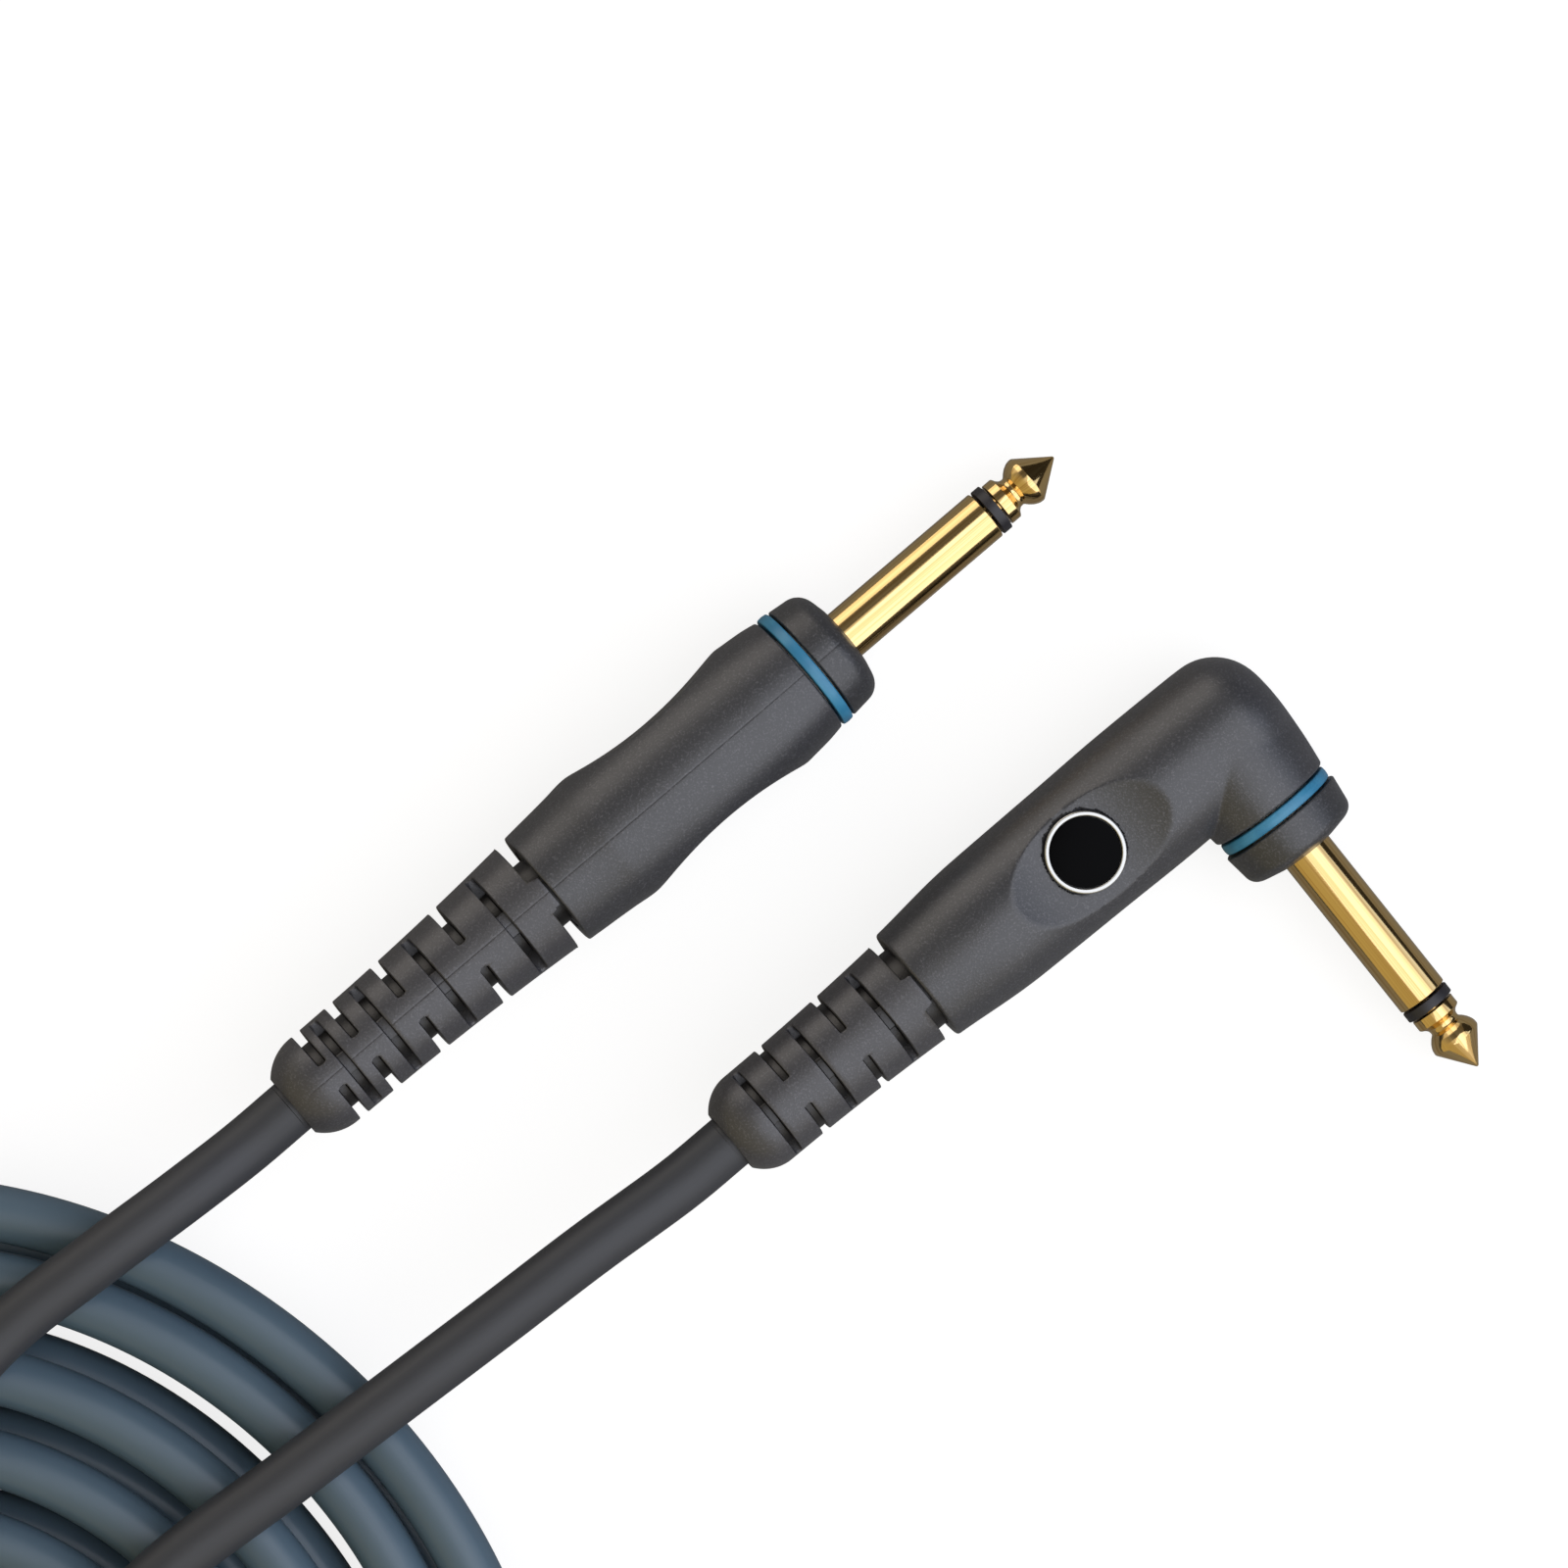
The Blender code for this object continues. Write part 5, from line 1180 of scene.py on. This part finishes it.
@dataclass
class Cable:
    """The whole cable in one run, from the straight plug through the coil to the right-angle plug."""

    straight_exit: np.ndarray
    straight_way: np.ndarray
    angled_exit: np.ndarray
    angled_way: np.ndarray
    length: float = 2.8
    step: float = 1.6 * MM
    sides: int = 36
    closest: float = 0.3  # share of the step below which a point is dropped
    blur: int = 41  # points over which the coil's painted light tint comes in
    straight_route: tuple[Place, ...] = (
        (-0.0821, -0.0454, 0.0170), (-0.0915, -0.0524, 0.0183), (-0.1039, -0.0623, 0.0185),
        (-0.1164, -0.0780, 0.0186), (-0.1222, -0.0858, 0.0186), (-0.1267, -0.0937, 0.0182),
        (-0.1290, -0.1013, 0.0156), (-0.1290, -0.1083, 0.0127),
    )
    angled_route: tuple[Place, ...] = (
        (-0.0341, -0.0517, 0.0162), (-0.0446, -0.0597, 0.0175), (-0.0551, -0.0676, 0.0183),
        (-0.0690, -0.0781, 0.0185), (-0.0847, -0.0900, 0.0185), (-0.0920, -0.0982, 0.0186),
        (-0.0939, -0.1065, 0.0142), (-0.0936, -0.1158, 0.0082), (-0.0961, -0.1245, 0.0044),
        (-0.1022, -0.1315, 0.0036), (-0.1104, -0.1330, 0.0036),
    )
    coil: Coil = field(default_factory=Coil)

    def lead(
        self, leaves: np.ndarray, out: np.ndarray, route: tuple[Place, ...], end: np.ndarray, way: np.ndarray
    ) -> np.ndarray:
        """Free stretch from a plug to the coil: straight for one diameter at both ends."""
        run = 2 * CABLE_RADIUS
        start = leaves + GAP * out
        stops = [leaves, start + run * out, *route, end + (run + GAP) * way, end]
        return smooth_route(stops, self.step)

    def centre_line(self) -> tuple[np.ndarray, np.ndarray]:
        """Points from plug to plug, and how far each belongs to the coil, from 0 to 1."""
        run = 2 * CABLE_RADIUS
        coil, first, last = self.coil.course(self.step)
        one = self.lead(self.straight_exit, self.straight_way, self.straight_route, coil[-1] + run * last, last)
        other = self.lead(self.angled_exit, self.angled_way, self.angled_route, coil[0] - run * first, -first)
        line = np.vstack([one, coil[::-1], other[::-1]])
        keep = np.r_[True, np.linalg.norm(np.diff(line, axis=0), axis=1) > self.closest * self.step]
        part = np.concatenate([np.zeros(len(one)), np.ones(len(coil)), np.zeros(len(other))])[keep]
        padded = np.pad(part, self.blur // 2, mode="edge")
        blurred = np.convolve(padded, np.ones(self.blur) / self.blur, mode="valid")
        return line[keep], blurred

    def build(self) -> None:
        """Carries a circle along the line: each ring lies in the plane of the level side and the rest's cross."""
        line, wound = self.centre_line()
        ways = np.gradient(line, axis=0)
        ways /= np.linalg.norm(ways, axis=1, keepdims=True)
        side = np.cross(ways, [0.0, 0.0, 1.0])
        side /= np.linalg.norm(side, axis=1, keepdims=True)
        up = np.cross(side, ways)
        angles = -np.arange(self.sides) * TURN / self.sides - TURN / 4
        spokes = np.cos(angles)[None, :, None] * side[:, None, :] + np.sin(angles)[None, :, None] * up[:, None, :]
        piece = skin("cable_run", line[:, None, :] + CABLE_RADIUS * spokes, Ends.CAPS)
        # how far each point belongs to the coil, for the painted light tint and the coil's gloss
        cast = np.concatenate([np.repeat(wound, self.sides), wound[[0, -1]]])
        piece.data.attributes.new("wound", "FLOAT", "POINT").data.foreach_set("value", cast.astype(np.float32))
        present(piece, SLATE_PVC, "jacket", "cable_lead_straight", "cable_coil", "cable_lead_angled")


@dataclass
class JacketEnd:
    """The cable's jacket inside a plug, up to where the free cable starts."""

    owner: str
    place: np.ndarray
    front: float
    rear: float

    def build(self) -> None:
        """Makes the plain round end."""
        edge = 0.1 * MM
        profile = rounded_outline([(0.3 * MM, self.front, 0.0), (CABLE_RADIUS, self.front, edge),
                                   (CABLE_RADIUS, self.rear, 0.0), (0.3 * MM, self.rear, 0.0)], closed=False)
        piece = turned(f"{self.owner}_jacket_end", profile, turned_columns(48), self.place, Ends.CAPS)
        present(piece, SLATE_PVC, "jacket", f"{self.owner}_cable_end")


# ---------------------------------------------------------------- pieces inside the plugs


INNARDS = {
    "rod_insulator": BLACK_NYLON,
    "rear_insulator": BLACK_NYLON,
    "tip_lug": STAMPED_BRASS,
    "ground_clamp": STAMPED_BRASS,
    "inner_mould": NATURAL_NYLON,
    "core_insulation": WHITE_POLYETHYLENE,
    "core_wire": BARE_COPPER,
    "shield_pigtail": BARE_COPPER,
}


def dress_innards(owner: str) -> None:
    """Gives each piece under a plug's mouldings, which keeps its shape, its material."""
    for name, finish in INNARDS.items():
        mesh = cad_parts[f"{owner}_{name}"].data
        mesh.materials.clear()
        mesh.materials.append(material_of(finish))
        log.info("%s_%s: %s", owner, name, finish.name)


# ---------------------------------------------------------------- studio


@dataclass(frozen=True)
class Softbox:
    """A square lamp that points at the plugs from a tilt off the vertical towards a heading, in degrees."""

    name: str
    heading: float
    tilt: float
    distance: float
    width: float
    power: float
    colour: str

    def build(self) -> None:
        """Adds the lamp; the camera doesn't see it."""
        lamp = bpy.data.lights.new(self.name, "AREA")
        lamp.shape, lamp.size, lamp.energy = "SQUARE", self.width, self.power
        lamp.color = linear(self.colour)[:3]
        heading, tilt = math.radians(self.heading), math.radians(self.tilt)
        level = math.sin(tilt)
        away = Vector((math.cos(heading) * level, math.sin(heading) * level, math.cos(tilt)))
        made = bpy.data.objects.new(self.name, lamp)
        made.location = away * self.distance
        made.rotation_euler = away.to_track_quat("Z", "Y").to_euler()
        made.visible_camera = False
        bpy.context.scene.collection.objects.link(made)


@dataclass(frozen=True)
class Studio:
    """Camera straight above, pale floor, soft lamps and a dim room around them."""

    camera_at: Place = (-0.01100, 0.00323, 1.2)
    lens: float = 230.7
    floor_size: float = 12.0
    floor_height: float = -0.05 * MM
    table_colour: str = "#8e8e8e"
    table_glow: float = 0.83  # what the camera sees of the table's own white
    room_colour: str = "#fff8ef"
    far_colour: str = "#e5d39a"
    room_light: float = 0.85
    far_light: float = 0.62
    dark_light: float = 0.03
    strip_depth: float = 0.86  # how much of the dark the strip has
    # (way, dot product where a rise starts, where it ends) of the strip's two sides, the dark end and the far side
    rises: tuple[tuple[Place, float, float], ...] = (
        ((0.649, -0.760, 0.0), -0.80, -0.72),
        ((0.649, -0.760, 0.0), -0.26, -0.16),
        ((0.780, 0.625, 0.0), 0.60, 0.76),
        ((-0.62, -0.78, 0.0), -0.1, 0.8),
    )
    lamps: tuple[Softbox, ...] = (
        Softbox("key_softbox", -14.0, 39.0, 0.85, 1.3, 6.5, "#dfe9ff"),
        Softbox("fill_softbox", 120.0, 72.0, 1.1, 0.8, 1.5, "#fff4ea"),
    )

    def camera(self) -> None:
        """Camera that looks straight down, with the image's top towards +Y."""
        data = bpy.data.cameras.new("overhead_camera")
        data.lens, data.sensor_width = self.lens, 36.0
        made = bpy.data.objects.new("overhead_camera", data)
        made.location = self.camera_at
        bpy.context.scene.collection.objects.link(made)
        bpy.context.scene.camera = made

    def floor(self) -> None:
        """White table: light where it is seen, so that it is white and keeps the object's shadow."""
        half = self.floor_size / 2
        mesh = bpy.data.meshes.new("floor")
        corners = [(-half, -half), (half, -half), (half, half), (-half, half)]
        mesh.from_pydata([(x, y, self.floor_height) for x, y in corners], [], [(0, 1, 2, 3)])
        made = bpy.data.objects.new("floor", mesh)
        bpy.context.scene.collection.objects.link(made)
        material = bpy.data.materials.new("white_table")
        material.use_nodes = True
        tree = material.node_tree
        shader = tree.nodes["Principled BSDF"]
        values = {
            "Base Color": linear(self.table_colour), "Roughness": 0.9, "Specular IOR Level": 0.0,
            "Emission Color": (1.0, 1.0, 1.0, 1.0),
        }
        for key, value in values.items():
            shader.inputs[key].default_value = value
        seen = add_node(tree, "LightPath", output="Is Camera Ray")
        shown = add_node(tree, "Math", {0: seen, 1: self.table_glow}, operation="MULTIPLY")
        tree.links.new(shown, shader.inputs["Emission Strength"])
        mesh.materials.append(material)

    def world(self) -> None:
        """Pale room: white to the camera, dimmer as light, with a dark strip, a dark end and a warm far side."""
        world = bpy.data.worlds.new("room")
        world.use_nodes = True
        tree = world.node_tree
        tree.nodes.clear()
        seen = add_node(tree, "LightPath", output="Is Camera Ray")
        way = add_node(tree, "TexCoord", output="Generated")
        rises = []
        for towards, start, end in self.rises:
            lean = add_node(tree, "VectorMath", {0: way, 1: towards}, "Value", operation="DOT_PRODUCT")
            inputs = {"Value": lean, "From Min": start, "From Max": end}
            rises.append(add_node(tree, "MapRange", inputs, interpolation_type="SMOOTHSTEP"))
        begin, stop, end_side, far_side = rises
        strip = add_node(tree, "Math", {0: begin, 1: stop}, operation="SUBTRACT")
        strip = add_node(tree, "Math", {0: strip, 1: self.strip_depth}, operation="MULTIPLY")
        shade = add_node(tree, "Math", {0: strip, 1: end_side}, operation="MAXIMUM")
        light = add_node(tree, "MapRange", {"Value": shade, "To Min": self.room_light, "To Max": self.dark_light})
        light = add_node(tree, "MapRange", {"Value": far_side, "To Min": light, "To Max": self.far_light})
        inputs = {0: far_side, 6: self.room_colour, 7: self.far_colour}
        tint = add_node(tree, "Mix", inputs, COLOUR_OUTPUT, data_type="RGBA")
        lit = add_node(tree, "Background", {"Color": tint, "Strength": light})
        white = add_node(tree, "Background", {"Color": (1.0, 1.0, 1.0, 1.0), "Strength": 1.0})
        add_node(tree, "OutputWorld", {"Surface": add_node(tree, "MixShader", {0: seen, 1: lit, 2: white})})
        bpy.context.scene.world = world

    def build(self) -> None:
        """Sets the scene up."""
        bpy.context.scene.view_settings.view_transform = "Standard"
        self.camera()
        self.floor()
        self.world()
        for lamp in self.lamps:
            lamp.build()


# ---------------------------------------------------------------- the whole object


def leaving(place: np.ndarray, height: float) -> tuple[np.ndarray, np.ndarray]:
    """Where the cable leaves a plug, and the way it points."""
    return carried(np.array([0.0, 0.0, height]), place), -place[:3, 2]


def main() -> None:
    """Builds the studio, the cable and the two plugs."""
    logging.basicConfig(level=logging.INFO, format="%(name)s: %(message)s")
    Studio().build()
    straight, angled, elbow = STRAIGHT_LAY.matrix(), ANGLED_LAY.matrix(), elbow_frame()
    straight_relief = StrainRelief(
        "straight", straight, front=-46.7 * MM, length=39.1 * MM, dome_length=4.7 * MM, front_radius=7.7 * MM,
        rear_radius=6.3 * MM, mouth=1.3 * MM, slot_at=0.2 * MM, slot_pitch=6.0 * MM, pitch_loss=0.53 * MM, slot_count=9,
        core=4.6 * MM, front_core=4.6 * MM, seams=FRONT_AND_BACK,
    )
    angled_relief = StrainRelief(
        "angled", elbow, front=-46.5 * MM, length=28.4 * MM, dome_length=4.2 * MM, front_radius=7.1 * MM,
        rear_radius=6.3 * MM, mouth=1.2 * MM, slot_at=0.5 * MM, slot_pitch=4.9 * MM, pitch_loss=0.2 * MM, slot_count=6,
        core=5.6 * MM, front_core=4.7 * MM, bridge=18.5, slot_width=1.0 * MM,
    )
    straight_exit, straight_way = leaving(straight, straight_relief.exit_height())
    angled_exit, angled_way = leaving(elbow, angled_relief.exit_height())
    parts = [
        Cable(straight_exit, straight_way, angled_exit, angled_way),
        JacketEnd("straight", straight, -24.6 * MM, straight_relief.exit_height()),
        JacketEnd("angled", elbow, -10.0 * MM, angled_relief.exit_height()),
        Pin("straight", straight),
        Pin("angled", angled),
        Head("straight", straight, rear_radius=7.9 * MM, corner=2.5 * MM, ring_radius=8.0 * MM,
             mould_radius=5.5 * MM, seams=FRONT_AND_BACK),
        Head("angled", angled, rear_radius=8.0 * MM, corner=1.6 * MM, ring_radius=7.6 * MM, mould_radius=5.4 * MM),
        straight_relief,
        angled_relief,
        StraightGrip(straight),
        ElbowGrip(elbow),
        Badge(elbow),
    ]
    for part in parts:
        part.build()
    for owner in ("straight", "angled"):
        dress_innards(owner)


if __name__ == "__main__":
    main()
